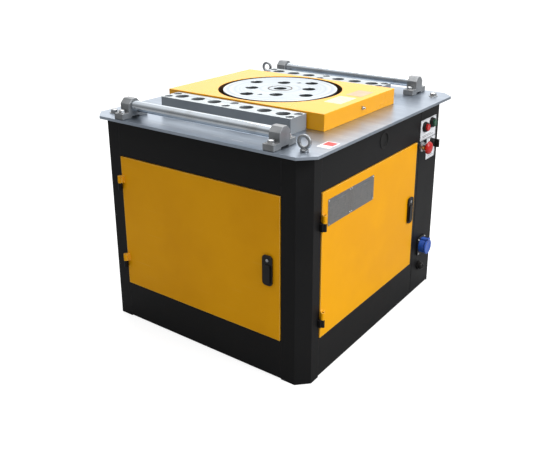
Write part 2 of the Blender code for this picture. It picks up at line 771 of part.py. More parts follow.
def gear_outline(teeth, module, phase):
    """Stub involute teeth, one centred at the phase angle; straight chords keep inside the true flank."""
    pitch = teeth * module / 2
    base = pitch * math.cos(PRESSURE_ANGLE)
    root, tip = pitch - module, pitch + 0.8 * module

    def half_angle(radius):
        flank = math.acos(min(1.0, base / radius))
        at_pitch = math.pi / (2 * teeth) - BACKLASH / (2 * pitch)
        return at_pitch + involute(PRESSURE_ANGLE) - involute(flank)

    steps = (root, tip) if teeth > 20 else (root, pitch, tip)
    points = []
    for tooth in range(teeth):
        centre = phase + 2 * math.pi * tooth / teeth
        for radius in steps:
            angle = centre - half_angle(max(radius, base))
            points.append((radius * math.cos(angle), radius * math.sin(angle)))
        for radius in reversed(steps):
            angle = centre + half_angle(max(radius, base))
            points.append((radius * math.cos(angle), radius * math.sin(angle)))
    return points


def meshed_phase(driver, driver_phase, driver_spot, follower, follower_spot):
    """The follower's tooth phase that puts one of its gaps opposite the driver's tooth."""
    along = math.atan2(follower_spot[1] - driver_spot[1], follower_spot[0] - driver_spot[0])
    share = (along - driver_phase) * driver[0] / (2 * math.pi)
    return along + math.pi - (0.5 - share) * 2 * math.pi / follower[0]


def widened(levels):
    """A pinion is a little wider than the gear that it drives."""
    low, high = levels
    return (low - PINION_OVERLAP, high + PINION_OVERLAP)


def toothed_shaft(name, spot, pinion, phase, pinion_z, radius, shaft_z):
    """A pinion cut on its own shaft."""
    origin = (*spot, 0)
    piece = outline(name, gear_outline(*pinion, phase), *pinion_z, GEAR_STEEL, origin=origin)
    size = (radius, (0, 0, shaft_z[0]), shaft_z[1] - shaft_z[0])
    return fuse(piece, cylinders(name + "_shaft", [size], sides=16, origin=origin))


def keyed_gear(name, spot, gear, phase, z, bore, sides=16):
    """A gear with a plain bore; the bore has as many flats as its shaft."""
    origin = (*spot, 0)
    piece = outline(name, gear_outline(*gear, phase), *z, GEAR_STEEL, origin=origin)
    hole = [(bore, (0, 0, z[0] - 0.01), z[1] - z[0] + 0.02)]
    return subtract(piece, cylinders(name + "_bore", hole, sides=sides, origin=origin))


def bearing_ring(name, outer, low, high):
    inner = SPINDLE_RADIUS + 2 * GAP
    profile = [(outer, high), (outer, low), (inner, low), (inner, high)]
    turned(name, profile, GROUND_STEEL, ring=True)


def gear_train():
    """Three reductions, from the input shaft's pinion up to the output gear on the disc's spindle."""
    spindle, second, first, driven = (SHAFTS[name] for name in ("spindle", "second", "first", "input"))
    floor = CASE_FLOOR[1] + GAP
    shaft_z = (floor, SHAFT_TOP)
    radius = SECOND_SHAFT_RADIUS
    keyed_gear("output_gear", spindle, OUTPUT_GEAR, 0.0, OUTPUT_GEAR_Z, SPINDLE_RADIUS + GAP, 32)
    phase = meshed_phase(OUTPUT_GEAR, 0.0, spindle, SECOND_PINION, second)
    toothed_shaft("second_shaft", second, SECOND_PINION, phase, widened(OUTPUT_GEAR_Z), radius, shaft_z)
    keyed_gear("second_gear", second, SECOND_GEAR, 0.0, SECOND_GEAR_Z, radius + GAP)
    radius = FIRST_SHAFT_RADIUS
    phase = meshed_phase(SECOND_GEAR, 0.0, second, FIRST_PINION, first)
    toothed_shaft("first_shaft", first, FIRST_PINION, phase, widened(SECOND_GEAR_Z), radius, shaft_z)
    keyed_gear("first_gear", first, FIRST_GEAR, 0.0, FIRST_GEAR_Z, radius + GAP)
    phase = meshed_phase(FIRST_GEAR, 0.0, first, INPUT_PINION, driven)
    shaft_z = (SHAFT_FOOT, SHAFT_TOP)
    pinion_z = widened(FIRST_GEAR_Z)
    toothed_shaft("input_shaft", driven, INPUT_PINION, phase, pinion_z, INPUT_SHAFT_RADIUS, shaft_z)

    top = DISC_TOP - DISC_THICK - GAP
    profile = [(0, top), (SPINDLE_RADIUS, top), (SPINDLE_RADIUS, floor), (0, floor)]
    turned("spindle", profile, GEAR_STEEL, 32)
    outer, height = LOWER_BEARING
    bearing_ring("spindle_bearing_lower", outer, floor, floor + height)
    bearing_ring("spindle_bearing_upper", UPPER_BEARING, CASE_TOP + 2 * GAP, PLATE_TOP - GAP)


CASE_CAVITY = [
    (0.170, -0.090),
    (0.170, 0.245),
    (0.100, 0.315),
    (-0.205, 0.315),
    (-0.268, 0.250),
    (-0.268, 0.060),
    (-0.090, -0.170),
    (0.090, -0.170),
]


def gearbox():
    walls = grown(CASE_CAVITY, CASE_WALL)
    body = outline("gearbox_body", walls, CASE_FLOOR[0], CASE_TOP, CASTING_PAINT)
    subtract(body, outline("gearbox_hollow", CASE_CAVITY, CASE_FLOOR[1], CASE_TOP + 0.02))
    seal = (SEAL_BORE, (*SHAFTS["input"], CASE_FLOOR[0] - 0.01), 0.04)
    subtract(body, cylinders("input_seal", [seal], sides=16))
    low = CASE_TOP + GAP
    cover = outline("gearbox_cover", walls, low, PLATE_TOP - PLATE_THICK - GAP, CASTING_PAINT)
    subtract(cover, cylinders("cover_seat", [(BEARING_SEAT, (0, 0, low - 0.01), 0.04)], sides=32))


def pulley(name, spot, outer, bore):
    """A grooved pulley: the belt runs half sunk in its groove."""
    low, high = PULLEY_Z
    groove_low, groove_high = BELT_Z[0] - 0.001, BELT_Z[1] + 0.001
    groove = outer - GROOVE_DEPTH
    profile = [
        (outer, high),
        (outer, groove_high),
        (groove, groove_high),
        (groove, groove_low),
        (outer, groove_low),
        (outer, low),
        (bore, low),
        (bore, high),
    ]
    turned(name, profile, CAST_STEEL, 32, (*spot, 0), ring=True)


def belt_path(radii, spots, steps=14):
    """The outline round two circles: an arc on each, joined by their outer tangents."""
    (x1, y1), (x2, y2) = spots
    along = math.atan2(y2 - y1, x2 - x1)
    distance = math.hypot(x2 - x1, y2 - y1)
    lean = math.acos((radii[0] - radii[1]) / distance)
    points = []
    for step in range(2 * steps + 1):
        angle = along + lean + (2 * math.pi - 2 * lean) * step / (2 * steps)
        points.append((x1 + radii[0] * math.cos(angle), y1 + radii[0] * math.sin(angle)))
    for step in range(steps + 1):
        angle = along - lean + 2 * lean * step / steps
        points.append((x2 + radii[1] * math.cos(angle), y2 + radii[1] * math.sin(angle)))
    return points


def belt_drive():
    spots = (SHAFTS["input"], MOTOR_PLACE)
    radii = (DRIVEN_PULLEY_RADIUS, MOTOR_PULLEY_RADIUS)
    bores = (INPUT_SHAFT_RADIUS, MOTOR_SHAFT[0])
    for name, spot, radius, bore in zip(("driven_pulley", "motor_pulley"), spots, radii, bores):
        pulley(name, spot, radius, bore + GAP)
    inner = [radius - BELT_SUNK for radius in radii]
    outer = [radius + BELT_HEIGHT for radius in inner]
    belt = outline("v_belt", belt_path(outer, spots), *BELT_Z, RUBBER)
    subtract(belt, outline("belt_inside", belt_path(inner, spots), BELT_Z[0] - 0.01, BELT_Z[1] + 0.01))


def motor():
    """A finned motor that stands on a shelf, with its shaft hanging down through it."""
    root, tip = MOTOR_RADII
    origin = (*MOTOR_PLACE, 0)
    points = []
    for fin in range(MOTOR_FINS):
        for offset, radius in ((-0.3, root), (-0.16, tip), (0.16, tip), (0.3, root)):
            angle = 2 * math.pi * (fin + offset) / MOTOR_FINS
            points.append((radius * math.cos(angle), radius * math.sin(angle)))
    body = outline("motor_body", points, *MOTOR_Z, CASTING_PAINT, origin=origin)
    radius, low, length = MOTOR_SHAFT
    bore = (MOTOR_BORE, (0, 0, SHELF_Z[0]), low + length + 0.02 - SHELF_Z[0])
    subtract(body, cylinders("motor_bore", [bore], sides=16, origin=origin))
    cylinders("motor_shaft", [(radius, (0, 0, low), length)], GEAR_STEEL, sides=16, origin=origin)
    inset = DOOR_DEPTH + SHELF_CLEARANCE
    corner = (SHELF_X, -CABINET_Y + inset, SHELF_Z[0])
    shelf = block("motor_shelf", corner, (CABINET_X - inset, SHELF_Y, SHELF_Z[1]), BLACK_PAINT)
    hole = (SHELF_HOLE, (*MOTOR_PLACE, SHELF_Z[0] - 0.01), 0.03)
    subtract(shelf, cylinders("shelf_hole", [hole], sides=24))


def switchgear():
    back = CABINET_Y - SHEET - SWITCH_STAND_OFF
    face = back - SWITCH_PLATE_THICK
    low_x, high_x = SWITCH_PLATE_X
    low_z, high_z = SWITCH_PLATE_Z
    block("switchgear_plate", (low_x, face, low_z), (high_x, back, high_z), PLATE_STEEL)
    low_x, high_x = CONTACTOR_X
    low_z, high_z = CONTACTOR_Z
    low = (low_x, face - GAP - CONTACTOR_DEPTH, low_z)
    block("contactor", low, (high_x, face - GAP, high_z), BLACK_PLASTIC, 0.003)


# ---------------------------------------------------------------- controls


def push_button(name, spot, material):
    """A cap that runs in its hole in the strip."""
    low, high = CAP_X
    cap = (CAP_RADIUS, (0, 0, 0), high - low)
    piece = cylinders(name, [cap], material, axis="X", origin=(CABINET_X + low, *spot))
    soften(piece, 0.0015)


def emergency_button():
    """A mushroom head on a stem."""
    profile = [
        (0, 0.0365),
        (0.0060, 0.0362),
        (0.0115, 0.0349),
        (0.0165, 0.0322),
        (0.0195, 0.0285),
        (0.0200, 0.0250),
        (0.0190, 0.0235),
        (0.0100, 0.0235),
        (0.0100, -0.0120),
        (0, -0.0120),
    ]
    piece = turned("emergency_stop_button", profile, RED_PLASTIC, 24, (CABINET_X, *EMERGENCY_PLACE))
    piece.rotation_euler = (0, math.radians(90), 0)


def selector():
    """A round knob with a raised grip across it."""
    origin = (CABINET_X, *SELECTOR_PLACE)
    knob = cylinders("selector_knob", [SELECTOR_STEM], BLACK_PLASTIC, "X", 20, origin)
    fuse(knob, cylinders("selector_skirt", [SELECTOR_SKIRT], axis="X", sides=24, origin=origin))
    half_width, half_length, low, high = SELECTOR_GRIP
    low_corner = (low, -half_width, -half_length)
    fuse(knob, block("selector_grip", low_corner, (high, half_width, half_length), origin=origin))


def socket():
    """A panel socket with a round collar and a spring flap hinged above it."""
    y, z = SOCKET_PLACE
    base = CABINET_X + GAP
    half_y, half_z, corner, thick = SOCKET_FLANGE
    flange = outline("socket_body", rounded_outline(half_y, half_z, corner), 0.0, thick, BLUE_PLASTIC)
    stand = Matrix.Translation((base, y, z)) @ AXIS_TURN["X"] @ Matrix.Rotation(math.radians(90), 4, "Z")
    flange.matrix_world = stand
    sunk = base + 0.001
    fuse(flange, cylinders("socket_collar", [(COLLAR_RADIUS, (sunk, y, z), COLLAR_REACH)], axis="X"))
    ear_low = (sunk, y - EAR_HALF, z + FLAP_HINGE_Z - EAR_DROP)
    ear_high = (sunk + COLLAR_REACH, y + EAR_HALF, z + FLAP_HINGE_Z)
    fuse(flange, block("socket_ear", ear_low, ear_high))
    subtract(flange, cylinders("socket_well", [(WELL_RADIUS, (base + WELL_FLOOR, y, z), 0.03)], axis="X"))

    hinge = (base + FLAP_HINGE_X, y, z + FLAP_HINGE_Z)
    low, high = FLAP_X
    lid = (FLAP_RADIUS, (low, 0, -FLAP_HINGE_Z), high - low)
    flap = cylinders("socket_flap", [lid], BLUE_PLASTIC, "X", 24, hinge)
    fuse(flap, block("flap_neck", (low, -EAR_HALF, -0.012), (high, EAR_HALF, 0.0), origin=hinge))
    knuckle = (FLAP_KNUCKLE, (0, -EAR_HALF, 0), 2 * EAR_HALF)
    fuse(flap, cylinders("flap_knuckle", [knuckle], axis="Y", sides=12, origin=hinge))


cabinet()
control_strip()
front_door()
side_door()
table_plate()
table_block()
hole_bar("hole_bar_front", -1)
hole_bar("hole_bar_back", 1)
working_disc()
for side_name, y_sign in (("front", -1), ("back", 1)):
    for hand, x_sign in (("left", -1), ("right", 1)):
        roller_bracket(f"roller_bracket_{side_name}_{hand}", x_sign, y_sign)
    feed_roller(f"feed_roller_{side_name}", y_sign)
for eye_name, eye_spot in EYE_PLACES.items():
    lifting_eye(eye_name, eye_spot)
gear_train()
gearbox()
belt_drive()
motor()
switchgear()
push_button("stop_button", STOP_PLACE, RED_PLASTIC)
push_button("start_button", START_PLACE, GREEN_PLASTIC)
emergency_button()
selector()
socket()
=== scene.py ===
"""Looks of the rebar bender: finishes for every node, and the turned, cast and moulded pieces in full detail.
Metres, +Z up. The disc turns about the world's Z axis, and the machine stands on z = 0."""

import json
import math

import bmesh
import bpy
from mathutils import Matrix, Vector


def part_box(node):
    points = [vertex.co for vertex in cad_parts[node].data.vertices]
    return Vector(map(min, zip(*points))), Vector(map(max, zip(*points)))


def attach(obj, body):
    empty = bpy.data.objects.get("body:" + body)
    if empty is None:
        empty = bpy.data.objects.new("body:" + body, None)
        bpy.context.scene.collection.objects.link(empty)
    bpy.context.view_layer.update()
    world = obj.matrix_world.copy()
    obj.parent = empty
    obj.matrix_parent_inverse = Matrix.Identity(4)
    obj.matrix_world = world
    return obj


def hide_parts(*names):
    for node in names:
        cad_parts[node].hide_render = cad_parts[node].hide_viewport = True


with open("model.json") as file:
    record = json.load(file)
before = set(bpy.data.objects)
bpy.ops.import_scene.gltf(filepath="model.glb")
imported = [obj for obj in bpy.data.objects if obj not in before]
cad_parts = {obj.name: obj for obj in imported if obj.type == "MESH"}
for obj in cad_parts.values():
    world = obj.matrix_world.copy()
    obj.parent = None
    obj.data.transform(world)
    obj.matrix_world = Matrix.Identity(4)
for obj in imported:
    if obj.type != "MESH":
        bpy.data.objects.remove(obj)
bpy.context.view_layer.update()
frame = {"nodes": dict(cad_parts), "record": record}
NODES = frame["nodes"]
OPENINGS = {opening["name"]: opening["box_m"] for opening in frame["record"]["physics"]["openings"]}
PLATE_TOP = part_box("table_plate")[1].z
BLOCK_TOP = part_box("table_block")[1].z
STRIP_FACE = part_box("control_strip")[1].x
DISC_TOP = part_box("working_disc")[1].z
BAR_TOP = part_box("hole_bar_front")[1].z

# Gaps, rounding and turns
FILM = 0.0004
LIFT = 0.0002
ON_LINE = 0.0001
SMOOTH_ANGLE = math.radians(40)
SHARP_FOLD = math.radians(38)
UPRIGHT = Matrix.Rotation(math.radians(90), 4, "X")
ON_SIDE = Matrix.Rotation(math.radians(90), 4, "Z") @ UPRIGHT

# Working disc, block and hole bars
RIM_STEPS = 128
HOLE_STEPS = 40
PIN_HOLE_RADIUS = 0.020
PIN_HOLE_DEPTH = 0.030
DISC_THREADS = (0.0075, 0.103, 0.020)
# Radii of the dark ring of painted shade that stands for the disc's centre groove
CENTRE_GROOVE = (0.0345, 0.0378)
PUNCHED_MARK = (-0.041328, 0.01344, 0.0032, 0.003)
BLOCK_OPENING = 0.190
SCREW_X = 0.218
SCREW_Y = 0.0195
SCREW_RADIUS = 0.012
SCREW_DEPTH = 0.012
SCREW_HEAD_RADIUS = 0.0098
SCREW_HEAD_DROP = 0.0034
SCREW_HEAD_HEIGHT = 0.0070
SCREW_KEY = (0.0048, 0.0042)
BAR_MIDDLE = 0.2445
BAR_INSIDE = (0.2295, 0.033)

# Roller brackets, rollers, lifting eyes and bolts (width, height and washer radius)
BRACKET_FOOT = 0.017
BRACKET_NECK = 0.0225
BRACKET_SHOULDER = 0.0135
BRACKET_RELIEF = (0.016, 0.0045)
BRACKET_BOLT_Y = 0.0345
BRACKET_BOLT = (0.0165, 0.0075, 0.0118)
PLATE_BOLT = (0.0185, 0.0095, 0.0140)
WASHER_THICKNESS = 0.0016
JOURNAL_RADIUS = 0.008
JOURNAL_LENGTH = 0.018
EYE_RING = 0.0150
EYE_WIRE = 0.0045
EYE_TURN = math.radians(6)

# Fittings on the table and the cabinet
PLATE_BOLTS = ((-0.3285, -0.378), (0.342, 0.371))
NIPPLE_PLACE = (0.001, 0.677)
ACCESS_HOLE = (-0.0078, 0.596, 0.0235)
SIDE_DOOR_FACE = 0.368
DATA_PLATES_Y = ((-0.3067, -0.1914), (-0.1906, -0.0645))
DATA_PLATES_Z = (0.4365, 0.5100)
DATA_PLATE_THICKNESS = 0.0009
RIVET_INSET = 0.0045
RULED_ROWS = 8
RULED_COLUMNS = (0.0, 0.42, 0.78, 1.0)
UPPER_LABEL = ((0.2352, 0.3490), (0.5335, 0.5990))
LOWER_LABEL = ((0.2870, 0.3507), (0.4616, 0.5315))
GLAND_PLACE = (0.285, 0.090)

# Inside the cabinet
LIP = (0.0018, 0.026, 0.014)
TERMINAL_BOX = (0.040, 0.470, 0.555, 0.042)
TERMINAL_PITCH = 0.024

# Studio
CAMERA_PLACE = (1.2263, -1.7178, 1.1426)
CAMERA_TURNS = (35.970, -18.568, -0.116)
CAMERA_LENS = 45.65
CAMERA_SHIFT = -0.10
FLOOR_REACH = 40.0
FLOOR_GLOW = 0.75
CARD_WAY = (-0.55, 0.80, 0.22)
CARD_LEVEL = 0.7


# ---------------------------------------------------------------- meshes


def turn_to(axis):
    """The turn that stands a shape's Z along an axis, given as a vector."""
    return Vector(axis).to_track_quat("Z", "Y").to_matrix().to_4x4()


def add_box(bm, low, high):
    low, high = Vector(low), Vector(high)
    matrix = Matrix.Translation((low + high) / 2) @ Matrix.Diagonal((*(high - low), 1.0))
    return bmesh.ops.create_cube(bm, size=1.0, matrix=matrix)["verts"]


def add_lathe(bm, profile, steps, matrix=None, ring=False):
    """A (radius, height) profile turned about Z, then placed by the matrix."""
    corners = [bm.verts.new((radius, 0, height)) for radius, height in profile]
    pairs = zip(corners, corners[1:] + (corners[:1] if ring else []))
    edges = [bm.edges.new(pair) for pair in pairs]
    before = set(bm.verts) - set(corners)
    bmesh.ops.spin(
        bm,
        geom=corners + edges,
        cent=(0, 0, 0),
        axis=(0, 0, 1),
        angle=2 * math.pi,
        steps=steps,
        use_merge=True,
    )
    made = [vert for vert in bm.verts if vert not in before]
    bmesh.ops.remove_doubles(bm, verts=made, dist=0.000005)
    made = [vert for vert in bm.verts if vert not in before]
    bmesh.ops.transform(bm, matrix=matrix or Matrix.Identity(4), verts=made)
    return made


def add_prism(bm, outline, low, high, matrix=None):
    """A flat outline in X and Y, made solid between two heights."""
    corners = [bm.verts.new((x, y, low)) for x, y in outline]
    face = bm.faces.new(corners)
    grown = bmesh.ops.extrude_face_region(bm, geom=[face])["geom"]
    top = [item for item in grown if isinstance(item, bmesh.types.BMVert)]
    bmesh.ops.translate(bm, verts=top, vec=(0, 0, high - low))
    bmesh.ops.transform(bm, matrix=matrix or Matrix.Identity(4), verts=corners + top)
    return corners + top


def polygon(count, radius, start=0.0):
    angles = [start + 2 * math.pi * number / count for number in range(count)]
    return [(radius * math.cos(angle), radius * math.sin(angle)) for angle in angles]


def rounded_rectangle(half_x, half_y, radius, steps=5):
    points = []
    for quarter, (sx, sy) in enumerate(((1, 1), (-1, 1), (-1, -1), (1, -1))):
        for step in range(steps + 1):
            angle = math.radians(90) * (quarter + step / steps)
            x = sx * (half_x - radius) + radius * math.cos(angle)
            points.append((x, sy * (half_y - radius) + radius * math.sin(angle)))
    return points


def add_loop(bm, points, height):
    corners = [bm.verts.new((x, y, height)) for x, y in points]
    return [bm.edges.new(pair) for pair in zip(corners, corners[1:] + corners[:1])]


def sink_loop(bm, edges, depth):
    """Draw a closed loop straight down, and return the loop at its foot."""
    grown = bmesh.ops.extrude_edge_only(bm, edges=edges)["geom"]
    foot = {item for item in grown if isinstance(item, bmesh.types.BMVert)}
    bmesh.ops.translate(bm, verts=list(foot), vec=(0, 0, -depth))
    return [
        item
        for item in grown
        if isinstance(item, bmesh.types.BMEdge) and all(vert in foot for vert in item.verts)
    ]


def bevel(bm, edges, width, segments=2):
    bmesh.ops.bevel(
        bm, geom=edges, offset=width, affect="EDGES", segments=segments, profile=0.5, material=-1
    )


def drilled_block(bm, outline, top, bottom, holes, edge):
    """A flat block with round holes, each (x, y, radius, depth); one with no depth goes through."""
    rims = [(add_loop(bm, outline, top), None)]
    for x, y, radius, depth in holes:
        circle = [(x + dx, y + dy) for dx, dy in polygon(HOLE_STEPS, radius)]
        rims.append((add_loop(bm, circle, top), depth))
    every = [edge_of for loop, _ in rims for edge_of in loop]
    bmesh.ops.triangle_fill(bm, use_beauty=True, edges=every)
    under = []
    for loop, depth in rims:
        foot = sink_loop(bm, loop, top - bottom if depth is None else depth)
        if depth is None:
            under += foot
        else:
            bmesh.ops.edgeloop_fill(bm, edges=foot)
    bmesh.ops.triangle_fill(bm, use_beauty=True, edges=under)
    bmesh.ops.recalc_face_normals(bm, faces=bm.faces)
    bevel(bm, [item for item in every if item.is_valid], edge)


def round_edges(bm, width, segments=2, verts=None):
    """Round the sharp edges of the whole mesh, or of some of its points."""
    bmesh.ops.recalc_face_normals(bm, faces=bm.faces)
    chosen = None if verts is None else set(verts)
    sharp = []
    for edge in bm.edges:
        mine = chosen is None or all(vert in chosen for vert in edge.verts)
        if mine and len(edge.link_faces) == 2 and edge.calc_face_angle() > SHARP_FOLD:
            sharp.append(edge)
    bevel(bm, sharp, width, segments)


def rounded_box(bm, low, high, width, segments=2):
    round_edges(bm, width, segments, add_box(bm, low, high))


def piece(name, bm, materials, body="cabinet", slot=None, stands_for=()):
    """Finish a mesh: smooth it between its sharp edges, give it its finishes, and let it ride on a body."""
    bmesh.ops.recalc_face_normals(bm, faces=bm.faces)
    mesh = bpy.data.meshes.new(name)
    bm.to_mesh(mesh)
    bm.free()
    mesh.shade_smooth()
    mesh.set_sharp_from_angle(angle=SMOOTH_ANGLE)
    for material in materials if isinstance(materials, (list, tuple)) else [materials]:
        mesh.materials.append(material)
    made = bpy.data.objects.new(name, mesh)
    bpy.context.scene.collection.objects.link(made)
    normals = made.modifiers.new("even_normals", "WEIGHTED_NORMAL")
    normals.keep_sharp = True
    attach(made, body)
    if stands_for:
        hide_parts(*stands_for)
    return made


def lathe_piece(name, material, profile, steps, matrix, *riding, ring=False):
    """A piece turned in one go; riding is its body, its slot and the nodes it stands for."""
    bm = bmesh.new()
    add_lathe(bm, profile, steps, matrix, ring)
    piece(name, bm, material, *riding)


def box_of(node_name):
    """A node's two corners and its middle."""
    low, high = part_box(node_name)
    return low, high, (low + high) / 2


def facing_out(y, z, face=STRIP_FACE):
    """The place and turn of a shape that stands out of the cabinet's +X side."""
    return Matrix.Translation((face, y, z)) @ turn_to((1, 0, 0))


# ---------------------------------------------------------------- shader building


def node(tree, kind, inputs=None, **settings):
    """A shader node with its settings, values and links in one call."""
    made = tree.nodes.new("ShaderNode" + kind)
    for key, value in settings.items():
        setattr(made, key, value)
    for key, value in (inputs or {}).items():
        if isinstance(value, bpy.types.NodeSocket):
            tree.links.new(value, made.inputs[key])
        else:
            made.inputs[key].default_value = value
    return made


def calc(tree, operation, first, second=0.0, clamp=False):
    return node(tree, "Math", {0: first, 1: second}, operation=operation, use_clamp=clamp).outputs[0]


def band(tree, value, low, high, to_low=0.0, to_high=1.0):
    """Where the value lies between two limits, smoothly, as a number between two others."""
    inputs = {0: value, 1: low, 2: high, 3: to_low, 4: to_high}
    return node(tree, "MapRange", inputs, interpolation_type="SMOOTHSTEP").outputs[0]


def blend_colour(tree, share, first, second, mode="MIX"):
    inputs = {0: share, 6: first, 7: second}
    return node(tree, "Mix", inputs, data_type="RGBA", blend_type=mode).outputs[2]


def object_coords(tree, stretch=(1, 1, 1), turn=(0, 0, 0)):
    spot = node(tree, "TexCoord").outputs["Object"]
    return node(tree, "Mapping", {"Vector": spot, "Scale": stretch, "Rotation": turn}).outputs[0]


def noise(tree, vector, scale, detail=3.0, roughness=0.6, output=0):
    inputs = {"Vector": vector, "Scale": scale, "Detail": detail, "Roughness": roughness}
    return node(tree, "TexNoise", inputs).outputs[output]


def new_group(name, inputs, outputs):
    tree = bpy.data.node_groups.new(name, "ShaderNodeTree")
    for label, value in inputs.items():
        socket = tree.interface.new_socket(label, in_out="INPUT", socket_type="NodeSocketFloat")
        socket.default_value = value
    for label, kind in outputs.items():
        tree.interface.new_socket(label, in_out="OUTPUT", socket_type="NodeSocket" + kind)
    given = tree.nodes.new("NodeGroupInput")
    result = tree.nodes.new("NodeGroupOutput")
    return tree, given.outputs, result.inputs


def use(tree, group, **inputs):
    """Place a shared effect in a material, and give its outputs."""
    placed = tree.nodes.new("ShaderNodeGroup")
    placed.node_tree = group
    for key, value in inputs.items():
        placed.inputs[key.replace("_", " ")].default_value = value
    return placed.outputs


def edge_wear_and_highlight_group():
    """Where a sharp edge has rubbed, in patches, and the normal that rounds the edge off; on the yellow coats
    this mask also places a painted edge highlight.
    """
    inputs = {"Radius": 0.0012, "Amount": 0.5, "Scale": 60.0}
    tree, given, result = new_group("edge wear and highlight", inputs, {"Mask": "Float", "Normal": "Vector"})
    rounded = node(tree, "Bevel", {"Radius": given["Radius"]}, samples=6).outputs[0]
    flat = node(tree, "NewGeometry").outputs["Normal"]
    level = node(tree, "VectorMath", {0: rounded, 1: flat}, operation="DOT_PRODUCT").outputs["Value"]
    edge = band(tree, calc(tree, "SUBTRACT", 1.0, level), 0.01, 0.12)
    patches = noise(tree, object_coords(tree), given["Scale"], 6.0, 0.7)
    wear_and_highlight_colour = calc(tree, "MULTIPLY", edge, calc(tree, "ADD", patches, given["Amount"]))
    tree.links.new(band(tree, wear_and_highlight_colour, 0.86, 1.02), result["Mask"])
    tree.links.new(rounded, result["Normal"])
    return tree


def grain_group():
    """A fine even grain with broad soft patches, for paint skin, castings and mouldings."""
    inputs = {"Scale": 700.0, "Patch Scale": 6.0}
    tree, given, result = new_group("grain", inputs, {"Height": "Float", "Patches": "Float"})
    spot = object_coords(tree)
    fine = noise(tree, spot, given["Scale"], 2.0, 0.5)
    tree.links.new(fine, result["Height"])
    tree.links.new(noise(tree, spot, given["Patch Scale"], 4.0, 0.55), result["Patches"])
    return tree


def dust_group():
    """Dust that settles in patches on what faces up."""
    tree, given, result = new_group("dust", {"Amount": 0.4, "Scale": 9.0}, {"Mask": "Float"})
    normal = node(tree, "NewGeometry").outputs["Normal"]
    height = node(tree, "SeparateXYZ", {0: normal}).outputs["Z"]
    upward = band(tree, height, 0.3, 0.95)
    patches = noise(tree, object_coords(tree), given["Scale"], 6.0, 0.65)
    film = calc(tree, "MULTIPLY", upward, band(tree, patches, 0.35, 0.75))
    tree.links.new(calc(tree, "MULTIPLY", film, given["Amount"]), result["Mask"])
    return tree


def scratch_group():
    """Thin straight scratches in three directions, gathered in patches."""
    inputs = {"Scale": 1.0, "Amount": 0.5}
    tree, given, result = new_group("scratches", inputs, {"Mask": "Float"})
    total = None
    for angle, stretch in ((0.35, (3, 260, 260)), (1.25, (4, 320, 320)), (2.30, (3, 290, 290))):
        spot = object_coords(tree, stretch, (0.2, 0.1, angle))
        lines = noise(tree, spot, given["Scale"], 1.0, 0.4)
        line = band(tree, lines, 0.70, 0.76)
        total = line if total is None else calc(tree, "MAXIMUM", total, line)
    patches = band(tree, noise(tree, object_coords(tree), 14.0, 3.0), 0.45, 0.62)
    mask = calc(tree, "MULTIPLY", total, calc(tree, "MULTIPLY", patches, given["Amount"]))
    tree.links.new(mask, result["Mask"])
    return tree


def brush_group():
    """Fine lines along X, as a grinder or a roller leaves them."""
    inputs = {"Along": 3.0, "Across": 420.0}
    tree, given, result = new_group("brushed lines", inputs, {"Height": "Float", "Bands": "Float"})
    spot = node(tree, "TexCoord").outputs["Object"]
    axes = node(tree, "SeparateXYZ", {0: spot}).outputs
    shares = {"X": "Along", "Y": "Across", "Z": "Across"}
    scaled = {axis: calc(tree, "MULTIPLY", axes[axis], given[share]) for axis, share in shares.items()}
    stretched = node(tree, "CombineXYZ", scaled).outputs[0]
    tree.links.new(noise(tree, stretched, 1.0, 4.0, 0.7), result["Height"])
    tree.links.new(noise(tree, stretched, 0.12, 2.0, 0.5), result["Bands"])
    return tree


def turned_group():
    """Fine rings about Z, as a lathe leaves them on a face."""
    tree, given, result = new_group("turned rings", {"Rings": 900.0}, {"Height": "Float", "Bands": "Float"})
    spot = node(tree, "TexCoord").outputs["Object"]
    flat = node(tree, "VectorMath", {0: spot, 1: (1, 1, 0)}, operation="MULTIPLY").outputs[0]
    radius = node(tree, "VectorMath", {0: flat}, operation="LENGTH").outputs["Value"]
    count = calc(tree, "MULTIPLY", radius, given["Rings"])
    fine = node(tree, "TexNoise", {"W": count, "Scale": 1.0, "Detail": 3.0}, noise_dimensions="1D")
    broad = node(tree, "TexNoise", {"W": count, "Scale": 0.06, "Detail": 3.0}, noise_dimensions="1D")
    tree.links.new(fine.outputs[0], result["Height"])
    tree.links.new(broad.outputs[0], result["Bands"])
    return tree


EDGE_WEAR_AND_HIGHLIGHT = edge_wear_and_highlight_group()
GRAIN = grain_group()
DUST = dust_group()
SCRATCHES = scratch_group()
BRUSHED = brush_group()
TURNED = turned_group()


def shader_of(name, **values):
    """A new material with its uniform values set on the shader's own sockets."""
    material = bpy.data.materials.new(name)
    material.use_nodes = True
    tree = material.node_tree
    shader = tree.nodes["Principled BSDF"]
    for key, value in values.items():
        shader.inputs[key.replace("_", " ").title().replace("Ior", "IOR")].default_value = value
    return material, tree, shader


def bump(tree, height, distance, strength=1.0, normal=None):
    inputs = {"Height": height, "Distance": distance, "Strength": strength}
    if normal is not None:
        inputs["Normal"] = normal
    return node(tree, "Bump", inputs).outputs[0]


def rgb(red, green, blue):
    return (red, green, blue, 1.0)


DUST_COLOUR = rgb(0.42, 0.38, 0.33)
# Grime and painted shade, laid in deeper down the pin and threaded holes.
HOLE_GRIME_AND_SHADE = rgb(0.085, 0.088, 0.090)
BARE_STEEL = rgb(0.45, 0.45, 0.46)


# ---------------------------------------------------------------- materials


def mottle(tree, pattern, first, second, low=0.3, high=0.7):
    """Two shades mixed by a pattern."""
    return blend_colour(tree, band(tree, pattern, low, high), first, second)


def coats(tree, base, *layers):
    """Lay colours over a base, each through its own mask."""
    for mask, colour in layers:
        base = blend_colour(tree, mask, base, colour)
    return base


def uneven(tree, grain, first, second, low=0.25, high=0.75):
    """A value that drifts between two others in the grain's broad patches."""
    return band(tree, grain["Patches"], low, high, first, second)


